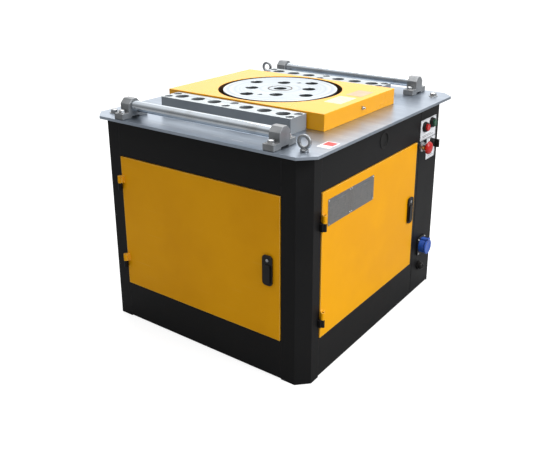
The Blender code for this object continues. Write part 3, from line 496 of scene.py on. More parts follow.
def plus(tree, first, second, share):
    return calc(tree, "ADD", first, calc(tree, "MULTIPLY", second, share))


def connect(tree, shader, base, rough, normal):
    """Feed the three sockets that every finish varies over its surface."""
    for label, value in {"Base Color": base, "Roughness": rough, "Normal": normal}.items():
        tree.links.new(value, shader.inputs[label])


def powder_paint(name, colour, deep, wear_and_highlight_colour, roughness, specular, wear, dust, peel=0.00006, rim=0.0011):
    """Powder coat on sheet: orange peel, slightly uneven tone, dust, and edges lightened in a colour that is
    partly wear and partly a painted edge highlight.
    """
    material, tree, shader = shader_of(name, specular_ior_level=specular)
    grain = use(tree, GRAIN, Scale=620.0, Patch_Scale=3.5)
    edge = use(tree, EDGE_WEAR_AND_HIGHLIGHT, Radius=rim, Amount=wear, Scale=45.0)
    film = use(tree, DUST, Amount=dust, Scale=7.0)
    marks = use(tree, SCRATCHES, Amount=0.22)
    base = mottle(tree, grain["Patches"], deep, colour)
    scratched = blend_colour(tree, 0.35, base, wear_and_highlight_colour)
    # The edge mask lays the lighter colour: partly wear, and on the yellow coats partly a painted edge
    # highlight.
    base = coats(tree, base, (marks["Mask"], scratched), (edge["Mask"], wear_and_highlight_colour), (film["Mask"], DUST_COLOUR))
    rough = plus(tree, uneven(tree, grain, roughness - 0.05, roughness + 0.06), film["Mask"], 0.35)
    connect(tree, shader, base, rough, bump(tree, grain["Height"], peel, 1.0, edge["Normal"]))
    return material


def plate_steel():
    """The table plate: ground sheet steel with lines, scratches and smears."""
    material, tree, shader = shader_of("ground_plate", metallic=1.0)
    lines = use(tree, BRUSHED, Along=5.0, Across=520.0)
    grain = use(tree, GRAIN, Scale=260.0, Patch_Scale=5.0)
    marks = use(tree, SCRATCHES, Amount=0.7)
    edge = use(tree, EDGE_WEAR_AND_HIGHLIGHT, Radius=0.0009, Amount=0.2, Scale=50.0)
    film = use(tree, DUST, Amount=0.10, Scale=5.0)
    base = mottle(tree, grain["Patches"], rgb(0.33, 0.38, 0.45), rgb(0.40, 0.45, 0.52))
    base = coats(
        tree,
        base,
        (band(tree, lines["Bands"], 0.35, 0.7, 0.0, 0.35), rgb(0.50, 0.55, 0.61)),
        (marks["Mask"], rgb(0.80, 0.82, 0.84)),
        (film["Mask"], DUST_COLOUR),
    )
    rough = plus(tree, uneven(tree, grain, 0.28, 0.36, 0.3, 0.7), lines["Bands"], 0.06)
    height = plus(tree, lines["Height"], marks["Mask"], -1.5)
    connect(tree, shader, base, rough, bump(tree, height, 0.000003, 1.0, edge["Normal"]))
    return material


def hole_grime_and_shade_depth(tree, top):
    """How deep a point lies below a machined top, from nothing to full in a hole's wall: where holes are
    darkened with grime and painted shade.
    """
    spot = node(tree, "TexCoord").outputs["Object"]
    height = node(tree, "SeparateXYZ", {0: spot}).outputs["Z"]
    return band(tree, height, top - 0.0010, top - 0.0080)


def disc_steel():
    """A bright turned face with lathe rings, pin scuffs, faint stains, and holes darkened with grime and
    painted shade.
    """
    material, tree, shader = shader_of("turned_steel", metallic=1.0)
    rings = use(tree, TURNED, Rings=1500.0)
    grain = use(tree, GRAIN, Scale=240.0, Patch_Scale=9.0)
    marks = use(tree, SCRATCHES, Amount=0.8)
    base = mottle(tree, rings["Bands"], rgb(0.47, 0.51, 0.54), rgb(0.60, 0.64, 0.67))
    base = coats(
        tree,
        base,
        (band(tree, grain["Patches"], 0.62, 0.80, 0.0, 0.30), rgb(0.42, 0.40, 0.38)),
        (marks["Mask"], rgb(0.40, 0.41, 0.42)),
        # Holes darkened deeper down: grime and painted shade.
        (hole_grime_and_shade_depth(tree, DISC_TOP), HOLE_GRIME_AND_SHADE),
    )
    rough = plus(tree, uneven(tree, grain, 0.30, 0.40, 0.3, 0.7), rings["Bands"], 0.08)
    height = plus(tree, rings["Height"], marks["Mask"], -2.0)
    connect(tree, shader, base, rough, bump(tree, height, 0.00002))
    return material


def bar_steel():
    """A hole bar: the top is ground bright, the sides keep their grey paint, and the holes are darkened with
    grime and painted shade.
    """
    material, tree, shader = shader_of("ground_bar")
    lines = use(tree, BRUSHED, Along=6.0, Across=700.0)
    grain = use(tree, GRAIN, Scale=420.0, Patch_Scale=8.0)
    marks = use(tree, SCRATCHES, Amount=0.6)
    edge = use(tree, EDGE_WEAR_AND_HIGHLIGHT, Radius=0.0008, Amount=0.35, Scale=70.0)
    normal = node(tree, "NewGeometry").outputs["Normal"]
    up = band(tree, node(tree, "SeparateXYZ", {0: normal}).outputs["Z"], 0.55, 0.8)
    bright = mottle(tree, lines["Bands"], rgb(0.46, 0.50, 0.51), rgb(0.58, 0.61, 0.62))
    bright = coats(tree, bright, (marks["Mask"], rgb(0.45, 0.45, 0.45)))

    half_long, half_wide = BAR_INSIDE
    axes = node(tree, "SeparateXYZ", {0: node(tree, "TexCoord").outputs["Object"]}).outputs
    from_middle = calc(tree, "SUBTRACT", calc(tree, "ABSOLUTE", axes["Y"]), BAR_MIDDLE)
    across = calc(tree, "LESS_THAN", calc(tree, "ABSOLUTE", from_middle), half_wide)
    along = calc(tree, "LESS_THAN", calc(tree, "ABSOLUTE", axes["X"]), half_long)
    # Deeper down inside the pin holes: grime and painted shade.
    inside = calc(tree, "MULTIPLY", calc(tree, "MULTIPLY", across, along), hole_grime_and_shade_depth(tree, BAR_TOP))
    grey = mottle(tree, grain["Patches"], rgb(0.195, 0.215, 0.235), rgb(0.245, 0.265, 0.285))
    grey = coats(tree, grey, (edge["Mask"], BARE_STEEL), (inside, HOLE_GRIME_AND_SHADE))

    ground = calc(tree, "MULTIPLY", up, calc(tree, "SUBTRACT", 1.0, inside))
    height = plus(tree, calc(tree, "MULTIPLY", lines["Height"], up), grain["Height"], 1.2)
    base = blend_colour(tree, ground, grey, bright)
    connect(tree, shader, base, uneven(tree, grain, 0.34, 0.46), bump(tree, height, 0.00003))
    tree.links.new(up, shader.inputs["Metallic"])
    return material


def cast_metal(name, colour, deep, roughness, metallic):
    """A painted sand-cast skin: pitted, with bright rubbed edges and dust in patches."""
    material, tree, shader = shader_of(name, metallic=metallic)
    grain = use(tree, GRAIN, Scale=330.0, Patch_Scale=22.0)
    edge = use(tree, EDGE_WEAR_AND_HIGHLIGHT, Radius=0.0016, Amount=0.48, Scale=90.0)
    film = use(tree, DUST, Amount=0.20, Scale=18.0)
    base = mottle(tree, grain["Patches"], deep, colour)
    base = coats(tree, base, (edge["Mask"], rgb(0.62, 0.62, 0.63)), (film["Mask"], DUST_COLOUR))
    rough = uneven(tree, grain, roughness - 0.06, roughness + 0.08)
    connect(tree, shader, base, rough, bump(tree, grain["Height"], 0.00025, 0.8))
    return material


def chrome():
    """Hard chrome on a round bar: mirror bright with fine lines, fingerprints and wipe marks."""
    material, tree, shader = shader_of("hard_chrome", metallic=1.0)
    grain = use(tree, GRAIN, Scale=60.0, Patch_Scale=16.0)
    marks = use(tree, SCRATCHES, Amount=0.8)
    lines = use(tree, BRUSHED, Along=900.0, Across=6.0)
    base = mottle(tree, grain["Patches"], rgb(0.68, 0.73, 0.78), rgb(0.56, 0.58, 0.60), 0.45, 0.75)
    base = coats(tree, base, (marks["Mask"], rgb(0.55, 0.55, 0.56)))
    rough = uneven(tree, grain, 0.06, 0.16, 0.35, 0.75)
    connect(tree, shader, base, rough, bump(tree, lines["Height"], 0.000002))
    return material


def bare_steel(name, colour, deep, roughness, oil=0.3):
    """Cut and handled steel: uneven, oily, with bright edges; for bolts, eyes, gears and shafts."""
    material, tree, shader = shader_of(name, metallic=1.0)
    grain = use(tree, GRAIN, Scale=520.0, Patch_Scale=30.0)
    edge = use(tree, EDGE_WEAR_AND_HIGHLIGHT, Radius=0.0006, Amount=0.5, Scale=160.0)
    base = mottle(tree, grain["Patches"], deep, colour)
    base = coats(tree, base, (edge["Mask"], rgb(0.78, 0.78, 0.79)))
    rough = uneven(tree, grain, roughness + 0.1, roughness - oil * 0.2, 0.3, 0.7)
    connect(tree, shader, base, rough, bump(tree, grain["Height"], 0.00003))
    return material


def moulded_plastic(name, colour, deep, roughness, grain_size=900.0, depth=0.00003, specular=0.5):
    """Injection-moulded plastic or rubber with a fine eroded skin, handled patches and dust."""
    material, tree, shader = shader_of(name, specular_ior_level=specular)
    grain = use(tree, GRAIN, Scale=grain_size, Patch_Scale=40.0)
    film = use(tree, DUST, Amount=0.12, Scale=30.0)
    base = coats(tree, mottle(tree, grain["Patches"], deep, colour), (film["Mask"], DUST_COLOUR))
    rough = uneven(tree, grain, roughness - 0.06, roughness + 0.08)
    connect(tree, shader, base, rough, bump(tree, grain["Height"], depth))
    return material


def printed_film(name, colour, deep, roughness=0.35):
    """A printed plastic label: uneven, with small bubbles under it and grimy edges."""
    material, tree, shader = shader_of(name, coat_weight=0.2)
    grain = use(tree, GRAIN, Scale=90.0, Patch_Scale=18.0)
    edge = use(tree, EDGE_WEAR_AND_HIGHLIGHT, Radius=0.0008, Amount=0.45, Scale=120.0)
    base = mottle(tree, grain["Patches"], colour, deep, 0.35, 0.75)
    base = coats(tree, base, (edge["Mask"], DUST_COLOUR))
    rough = uneven(tree, grain, roughness, roughness + 0.15)
    connect(tree, shader, base, rough, bump(tree, grain["Height"], 0.00005, 0.5))
    return material


def etched_aluminium():
    """A data plate's ground: matt anodised aluminium, slightly mottled, with fine lines."""
    material, tree, shader = shader_of("etched_aluminium", metallic=0.85)
    lines = use(tree, BRUSHED, Along=900.0, Across=8.0)
    grain = use(tree, GRAIN, Scale=420.0, Patch_Scale=70.0)
    edge = use(tree, EDGE_WEAR_AND_HIGHLIGHT, Radius=0.0006, Amount=0.5, Scale=200.0)
    base = mottle(tree, grain["Patches"], rgb(0.19, 0.185, 0.18), rgb(0.235, 0.23, 0.225))
    streaks = band(tree, lines["Bands"], 0.4, 0.7, 0.0, 0.25)
    base = coats(tree, base, (streaks, rgb(0.45, 0.45, 0.45)), (edge["Mask"], rgb(0.72, 0.72, 0.72)))
    rough = uneven(tree, grain, 0.34, 0.5, 0.3, 0.7)
    connect(tree, shader, base, rough, bump(tree, grain["Height"], 0.00003))
    return material


def bore_grease_and_shade():
    """The block's inner wall: machined steel dark with grease and scale, and darker still as painted shade of
    the deep gap round the disc.
    """
    material, tree, shader = shader_of("bore_grease_and_shade", metallic=0.3)
    grain = use(tree, GRAIN, Scale=150.0, Patch_Scale=24.0)
    base = mottle(tree, grain["Patches"], rgb(0.045, 0.022, 0.008), rgb(0.110, 0.055, 0.018), 0.35, 0.7)
    rough = uneven(tree, grain, 0.65, 0.4, 0.3, 0.7)
    connect(tree, shader, base, rough, bump(tree, grain["Height"], 0.0002))
    return material


# Lighter yellow along the edges: partly wear, partly a painted highlight where the top light catches the door
# and block edges; the door coat's wider rim widens that painted line.
WORN_AND_HIGHLIT_YELLOW = rgb(0.98, 0.66, 0.20)
YELLOW = powder_paint(
    "yellow_powder_coat", rgb(0.88, 0.400, 0.003), rgb(0.80, 0.350, 0.002), WORN_AND_HIGHLIT_YELLOW,
    roughness=0.42, specular=0.08, wear=0.66, dust=0.02, rim=0.0022,
)
BLOCK_YELLOW = powder_paint(
    "yellow_block_enamel", rgb(0.90, 0.400, 0.003), rgb(0.86, 0.375, 0.003), WORN_AND_HIGHLIT_YELLOW,
    roughness=0.26, specular=0.45, wear=0.55, dust=0.04, peel=0.000015,
)
BLACK = powder_paint(
    "black_powder_coat", rgb(0.0085, 0.0085, 0.0090), rgb(0.0060, 0.0060, 0.0064), rgb(0.050, 0.050, 0.053),
    roughness=0.52, specular=0.15, wear=0.50, dust=0.04,
)
PLATE = plate_steel()
DISC = disc_steel()
BAR = bar_steel()
# Dark grease and painted shade, for the block's bore and the disc's groove ring.
BORE_GREASE_AND_SHADE = bore_grease_and_shade()
CAST = cast_metal("silver_cast_paint", rgb(0.26, 0.27, 0.28), rgb(0.17, 0.178, 0.185), 0.34, 0.35)
MOTOR_PAINT = cast_metal("grey_blue_casting_paint", rgb(0.10, 0.15, 0.20), rgb(0.07, 0.11, 0.15), 0.46, 0.1)
CHROME = chrome()
BOLT = bare_steel("zinc_plated_steel", rgb(0.56, 0.56, 0.55), rgb(0.40, 0.41, 0.42), 0.34)
FORGED = bare_steel("forged_steel", rgb(0.42, 0.43, 0.44), rgb(0.27, 0.28, 0.29), 0.40)
GEAR = bare_steel("oiled_gear_steel", rgb(0.38, 0.37, 0.35), rgb(0.24, 0.23, 0.21), 0.34, oil=0.8)
BEARING = bare_steel("bearing_steel", rgb(0.62, 0.63, 0.64), rgb(0.52, 0.53, 0.54), 0.26)
BELT = moulded_plastic(
    "belt_rubber", rgb(0.020, 0.020, 0.021), rgb(0.012, 0.012, 0.013), 0.78, grain_size=1400.0, depth=0.0001
)
RUBBER = moulded_plastic(
    "soft_rubber", rgb(0.012, 0.012, 0.012), rgb(0.008, 0.008, 0.008), 0.62, 700.0, 0.00006, specular=0.25
)
DARK_PLASTIC = moulded_plastic(
    "dark_plastic", rgb(0.0095, 0.0090, 0.0088), rgb(0.006, 0.0056, 0.0055), 0.40, specular=0.28
)
RED = moulded_plastic("red_plastic", rgb(0.52, 0.012, 0.010), rgb(0.44, 0.009, 0.008), 0.26, 1600.0, 0.000012)
GREEN = moulded_plastic(
    "green_plastic", rgb(0.010, 0.085, 0.045), rgb(0.008, 0.065, 0.034), 0.28, 1600.0, 0.000012
)
BLUE = moulded_plastic(
    "blue_plastic", rgb(0.020, 0.095, 0.46), rgb(0.016, 0.075, 0.38), 0.32, 1200.0, 0.00002
)
PALE_FILM = printed_film("pale_block_film", rgb(0.80, 0.66, 0.42), rgb(0.72, 0.58, 0.36))
WHITE_FILM = printed_film("white_label_film", rgb(0.80, 0.82, 0.86), rgb(0.70, 0.72, 0.76))
PALE_RED_FILM = printed_film("faded_red_film", rgb(0.72, 0.30, 0.16), rgb(0.80, 0.40, 0.24))
RED_FILM = printed_film("red_film", rgb(0.78, 0.05, 0.06), rgb(0.68, 0.04, 0.05))
GREY_INK = printed_film("grey_ink", rgb(0.10, 0.11, 0.12), rgb(0.14, 0.15, 0.16), 0.5)
ALUMINIUM = etched_aluminium()
GREY_PLASTIC = moulded_plastic("grey_cable_sheath", rgb(0.10, 0.10, 0.105), rgb(0.07, 0.07, 0.074), 0.5)

NODE_FINISHES = (
    (BLACK, ("corner_post", "front_top_panel", "front_bottom_panel", "side_top_panel", "side_bottom_panel")),
    (BLACK, ("left_panel", "back_panel", "floor_plate", "control_strip")),
    (BLACK, ("front_hinge", "side_hinge", "motor_shelf")),
    (YELLOW, ("front_door", "side_door")),
    (PLATE, ("table_plate", "switchgear_plate")),
    (BEARING, ("spindle_bearing", "motor_shaft")),
    (GEAR, ("output_gear", "second_", "first_", "input_shaft", "spindle")),
    (MOTOR_PAINT, ("gearbox", "motor_body")),
    (CAST, ("driven_pulley", "motor_pulley")),
    (BELT, ("v_belt",)),
    (DARK_PLASTIC, ("contactor",)),
)


def finish_nodes():
    """Give each CAD node that stays in sight its finish; the first row that fits wins."""
    for name, shape in NODES.items():
        for material, starts in NODE_FINISHES:
            if name.startswith(starts):
                shape.data.materials.clear()
                shape.data.materials.append(material)
                break


# ---------------------------------------------------------------- table


def opening_middle(name):
    low, high = OPENINGS[name]
    return (low[0] + high[0]) / 2, (low[1] + high[1]) / 2


def rectangle(low, high):
    return [(low.x, low.y), (high.x, low.y), (high.x, high.y), (low.x, high.y)]


def working_disc():
    """The disc: nine pin holes, two threaded holes, a punched mark, and a dark ring of painted shade that
    stands for the groove round the middle.
    """
    low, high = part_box("working_disc")
    holes = []
    for number in range(1, 10):
        holes.append((*opening_middle(f"disc_pin_hole_{number}"), PIN_HOLE_RADIUS, PIN_HOLE_DEPTH))
    thread, reach, depth = DISC_THREADS
    holes += [(0.0, y, thread, depth) for y in (-reach, reach)]
    holes.append(PUNCHED_MARK)
    bm = bmesh.new()
    drilled_block(bm, polygon(RIM_STEPS, high.x), high.z, low.z, holes, 0.0012)
    piece("turned_disc", bm, DISC, "working_disc", "ground_steel", ["working_disc"])

    # A thin dark ring laid on the face in place of the groove: painted shade, in the bore's dark finish.
    inner, outer = CENTRE_GROOVE
    foot, top = high.z - 0.001, high.z + FILM
    groove = [(outer, foot), (outer, top), (inner, top), (inner, foot)]
    lathe_piece("disc_groove_painted_shade", BORE_GREASE_AND_SHADE, groove, 96, None, "working_disc", ring=True)


def table_block():
    """The yellow block, with its bore in the round opening darkened by grease and painted shade."""
    low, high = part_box("table_block")
    bm = bmesh.new()
    rim = add_loop(bm, rectangle(low, high), high.z)
    mouth = add_loop(bm, polygon(RIM_STEPS, BLOCK_OPENING), high.z)
    bmesh.ops.triangle_fill(bm, use_beauty=True, edges=rim + mouth)
    foot = sink_loop(bm, rim, high.z - low.z) + sink_loop(bm, mouth, high.z - low.z)
    bmesh.ops.triangle_fill(bm, use_beauty=True, edges=foot)
    bmesh.ops.recalc_face_normals(bm, faces=bm.faces)
    # The bore's wall takes the second finish: grease and painted shade of the deep gap.
    for face in bm.faces:
        centre = face.calc_center_median()
        if abs(face.normal.z) < 0.5 and math.hypot(centre.x, centre.y) < BLOCK_OPENING + 0.001:
            face.material_index = 1
    bevel(bm, rim + mouth + upright_edges(bm, low, high), 0.0014, 3)
    piece("painted_block", bm, [BLOCK_YELLOW, BORE_GREASE_AND_SHADE], "cabinet", "yellow_paint", ["table_block"])


def upright_edges(bm, low, high):
    """The upright edges on a block's four corners."""
    found = []
    for edge in bm.edges:
        first, second = (vert.co for vert in edge.verts)
        spot = (first + second) / 2
        at_x = min(abs(spot.x - low.x), abs(spot.x - high.x)) < ON_LINE
        at_y = min(abs(spot.y - low.y), abs(spot.y - high.y)) < ON_LINE
        if at_x and at_y and abs(first.z - second.z) > (high.z - low.z) / 2:
            found.append(edge)
    return found


def hole_bar(side):
    """A bar with six pin holes through it, and six cap screws sunk in its top."""
    node_name = f"hole_bar_{side}"
    low, high, centre = box_of(node_name)
    holes = []
    for number in range(1, 7):
        holes.append((*opening_middle(f"{side}_bar_pin_hole_{number}"), PIN_HOLE_RADIUS, None))
    screws = [(centre.x + x, centre.y + y) for x in (-SCREW_X, 0.0, SCREW_X) for y in (-SCREW_Y, SCREW_Y)]
    holes += [(x, y, SCREW_RADIUS, SCREW_DEPTH) for x, y in screws]
    bm = bmesh.new()
    drilled_block(bm, rectangle(low, high), high.z, low.z, holes, 0.0010)
    bevel(bm, upright_edges(bm, low, high), 0.0010)
    piece(f"ground_{node_name}", bm, BAR, "cabinet", "ground_steel", [node_name])

    bm = bmesh.new()
    for x, y in screws:
        socket_screw(bm, x, y, high.z - SCREW_HEAD_DROP)
    piece(f"{side}_bar_screws", bm, FORGED)


def socket_screw(bm, x, y, top):
    """A cap screw's head sunk in its counterbore, with the hexagon for the key."""
    key, key_depth = SCREW_KEY
    head = [(x + dx, y + dy) for dx, dy in polygon(28, SCREW_HEAD_RADIUS)]
    hexagon = [(x + dx, y + dy) for dx, dy in polygon(6, key, x * 7)]
    rim, mouth = add_loop(bm, head, top), add_loop(bm, hexagon, top)
    bmesh.ops.triangle_fill(bm, use_beauty=True, edges=rim + mouth)
    bmesh.ops.edgeloop_fill(bm, edges=sink_loop(bm, rim, SCREW_HEAD_HEIGHT))
    bmesh.ops.edgeloop_fill(bm, edges=sink_loop(bm, mouth, key_depth))
    bevel(bm, rim, 0.0008)


def hexagon_bolt(bm, place, width, height, washer, lean):
    """A hexagon head on its washer, with the chamfered crown of a forged head."""
    thick = WASHER_THICKNESS
    disc = [(0, thick), (washer - 0.0003, thick), (washer, thick - 0.0003), (washer, 0), (0, 0)]
    add_lathe(bm, disc, 28, Matrix.Translation(place))
    x, y, z = place
    matrix = Matrix.Translation((x, y, z + thick)) @ Matrix.Rotation(lean, 4, "Z")
    verts = add_prism(bm, polygon(6, width / math.sqrt(3)), 0.0, height * 0.82, matrix)
    round_edges(bm, 0.0003, 1, verts)
    crown = [(0, height), (width * 0.36, height), (width * 0.48, height * 0.82), (0, height * 0.70)]
    add_lathe(bm, crown, 24, matrix)


def roller_bracket(end, side):
    """A cast foot with an upright for the roller's journal, and its two bolts."""
    node_name = f"roller_bracket_{side}_{end}"
    low, high, centre = box_of(node_name)
    half = (high.y - low.y) / 2
    height = high.z - low.z
    relief, relief_top = BRACKET_RELIEF
    neck, shoulder = BRACKET_NECK, BRACKET_SHOULDER
    right = [
        (relief, relief_top),
        (relief, 0.0),
        (half, 0.0),
        (half, BRACKET_FOOT),
        (neck, BRACKET_FOOT),
        (neck, height - shoulder),
        (neck - shoulder, height),
    ]
    outline = right + [(-y, z) for y, z in reversed(right)]
    thick = (high.x - low.x) / 2
    bm = bmesh.new()
    add_prism(bm, outline, -thick, thick, Matrix.Translation((centre.x, centre.y, low.z)) @ ON_SIDE)
    round_edges(bm, 0.0013, 3)
    piece(f"cast_{node_name}", bm, CAST, "cabinet", "cast_steel", [node_name])

    bm = bmesh.new()
    for number, y in enumerate((-BRACKET_BOLT_Y, BRACKET_BOLT_Y)):
        place = (centre.x, centre.y + y, low.z + BRACKET_FOOT + LIFT)
        hexagon_bolt(bm, place, *BRACKET_BOLT, 0.4 + number * 0.7 + centre.x)
    piece(f"bracket_bolts_{side}_{end}", bm, BOLT)


def feed_roller(side):
    """A chromed round bar with a turned-down journal at each end."""
    node_name = f"feed_roller_{side}"
    low, high, centre = box_of(node_name)
    radius = (high.z - low.z) / 2
    journal = (high.x - low.x) / 2
    face = journal - JOURNAL_LENGTH
    round_over = [(radius - 0.0012, face), (radius - 0.0004, face - 0.0004), (radius, face - 0.0012)]
    half = [(0, journal), (JOURNAL_RADIUS, journal), (JOURNAL_RADIUS, face), *round_over]
    profile = half + [(reach, -along) for reach, along in reversed(half)]
    matrix = Matrix.Translation(centre) @ turn_to((1, 0, 0))
    lathe_piece(f"chromed_{node_name}", CHROME, profile, 64, matrix, node_name, "chrome", [node_name])


def lifting_eye(side):
    """A forged ring on its collar."""
    node_name = f"lifting_eye_{side}"
    high, centre = box_of(node_name)[1:]
    ring_z = high.z - EYE_RING - EYE_WIRE
    bm = bmesh.new()
    stand = Matrix.Translation((centre.x, centre.y, ring_z)) @ Matrix.Rotation(EYE_TURN, 4, "Z")
    wire = [(EYE_RING + x, y) for x, y in polygon(16, EYE_WIRE)]
    add_lathe(bm, wire, 48, stand @ turn_to((0, 1, 0)), ring=True)
    collar = [(0, 0.0105), (0.0058, 0.0100), (0.0066, 0.0072), (0.0088, 0.0058), (0.0104, 0.0052)]
    collar += [(0.0105, 0.0046), (0.0105, 0.0008), (0.0100, 0.0003), (0, 0.0003)]
    add_lathe(bm, collar, 36, Matrix.Translation((centre.x, centre.y, PLATE_TOP)))
    piece(f"forged_{node_name}", bm, FORGED, "cabinet", "cast_steel", [node_name])


def plate_fittings():
    """The plate's two fixing bolts and the block's grease nipple."""
    bm = bmesh.new()
    for number, (x, y) in enumerate(PLATE_BOLTS):
        hexagon_bolt(bm, (x, y, PLATE_TOP + LIFT), *PLATE_BOLT, 0.2 + number)
    piece("plate_bolts", bm, BOLT)

    bm = bmesh.new()
    matrix = facing_out(*NIPPLE_PLACE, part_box("table_block")[1].x + LIFT)
    verts = add_prism(bm, polygon(6, 0.0058), 0.0, 0.0042, matrix)
    round_edges(bm, 0.0003, 1, verts)
    stem = [(0, 0.0110), (0.0014, 0.0108), (0.0026, 0.0098), (0.0030, 0.0086), (0.0026, 0.0074)]
    stem += [(0.0020, 0.0066), (0.0030, 0.0046), (0.0040, 0.0040), (0, 0.0036)]
    add_lathe(bm, stem, 24, matrix)
    piece("grease_nipple", bm, BOLT)


# ---------------------------------------------------------------- labels


def sheet_piece(name, material, low, high, corner, body="cabinet", rounding=0.0):
    """A thin plate with round corners between two corners, thin along X on a wall and along Z on a top."""
    low, high = Vector(low), Vector(high)
    size = high - low
    matrix = Matrix.Translation((low + high) / 2)
    across, up, thick = size
    if size.x < size.z:
        matrix = matrix @ ON_SIDE
        across, up, thick = size.yzx
    bm = bmesh.new()
    add_prism(bm, rounded_rectangle(across / 2, up / 2, corner), -thick / 2, thick / 2, matrix)
    if rounding:
        round_edges(bm, rounding, 1)
    piece(name, bm, material, body)


def print_box(bm, front, low, high):
    """A printed bar on a wall that faces +X, between two corners given in Y and Z."""
    add_box(bm, (front[0], *low), (front[1], *high))


def data_plates():
    """Two blank riveted data plates on the side door, ruled for entries that nobody has filled in."""
    low_z, high_z = DATA_PLATES_Z
    face = SIDE_DOOR_FACE + DATA_PLATE_THICKNESS
    front = (face - 0.0002, face + 0.00025)
    foot = low_z + 0.008
    pitch = (high_z - low_z - 0.022) / RULED_ROWS
    for number, (low_y, high_y) in enumerate(DATA_PLATES_Y, 1):
        low, high = (SIDE_DOOR_FACE + LIFT, low_y, low_z), (face, high_y, high_z)
        sheet_piece(f"data_plate_{number}", ALUMINIUM, low, high, 0.003, "side_door", 0.0002)

        bm = bmesh.new()
        left, right = low_y + 0.010, high_y - 0.010
        for row in range(RULED_ROWS + 1):
            z = foot + row * pitch
            print_box(bm, front, (left, z - 0.0005), (right, z + 0.0005))
        for share in RULED_COLUMNS:
            y = left + share * (right - left)
            print_box(bm, front, (y - 0.0003, foot), (y + 0.0003, high_z - 0.014))
        print_box(bm, front, (left + 0.015, high_z - 0.0105), (right - 0.015, high_z - 0.0065))
        piece(f"data_plate_rules_{number}", bm, GREY_INK, "side_door")

        bm = bmesh.new()
        head = [(0, 0.0016), (0.0012, 0.0014), (0.0021, 0.0008), (0.0024, 0), (0, 0)]
        for y in (low_y + RIVET_INSET, high_y - RIVET_INSET):
            for z in (low_z + RIVET_INSET, high_z - RIVET_INSET):
                add_lathe(bm, head, 20, facing_out(y, z, face))
        piece(f"data_plate_rivets_{number}", bm, BOLT, "side_door")


def control_labels():
    """Two plain pale label plates behind the controls, with a printed frame and two bars."""
    front = (STRIP_FACE + 0.0006, STRIP_FACE + 0.00095)
    inset, line = 0.0028, 0.0004
    for name, ((low_y, high_y), (low_z, high_z)) in {"upper": UPPER_LABEL, "lower": LOWER_LABEL}.items():
        low, high = (STRIP_FACE + LIFT, low_y, low_z), (STRIP_FACE + 0.0008, high_y, high_z)
        sheet_piece(f"{name}_control_label", WHITE_FILM, low, high, 0.0025)
        bm = bmesh.new()
        left, right, foot, top = low_y + inset, high_y - inset, low_z + inset, high_z - inset
        for z in (foot, top):
            print_box(bm, front, (left, z - line), (right, z + line))
        for y in (left, right):
            print_box(bm, front, (y - line, foot), (y + line, top))
        middle, reach = (left + right) / 2, (right - left) * 0.38
        for row in range(2):
            z = foot + 0.0055 + row * 0.0045
            print_box(bm, front, (middle - reach, z - 0.0008), (middle + reach * (1 - 0.4 * row), z + 0.0008))
        piece(f"{name}_label_print", bm, GREY_INK)


def stickers():
    """Plain stickers on the block and the plate: coloured films with ruled lines and no wording."""
    film, ink_foot, ink_top = 0.0003, 0.0002, 0.00045
    low, high = (0.207, -0.080, BLOCK_TOP), (0.262, 0.012, BLOCK_TOP + film)
    sheet_piece("white_block_sticker", PALE_FILM, low, high, 0.003)
    bm = bmesh.new()
    for row in range(5):
        x = 0.214 + row * 0.0095
        add_box(bm, (x, -0.076, BLOCK_TOP + ink_foot), (x + 0.0012, 0.003, BLOCK_TOP + ink_top))
    piece("block_sticker_rules", bm, PALE_RED_FILM)
    low, high = (0.212, 0.034, BLOCK_TOP), (0.264, 0.112, BLOCK_TOP + film)
    sheet_piece("red_block_sticker", PALE_RED_FILM, low, high, 0.003)
    low, high = (0.3420, -0.327, PLATE_TOP), (0.3790, -0.272, PLATE_TOP + film)
    sheet_piece("white_plate_sticker", WHITE_FILM, low, high, 0.002)
    low, high = (0.3455, -0.305, PLATE_TOP + ink_foot), (0.3755, -0.276, PLATE_TOP + ink_top)
    sheet_piece("plate_sticker_band", RED_FILM, low, high, 0.001)


# ---------------------------------------------------------------- latches


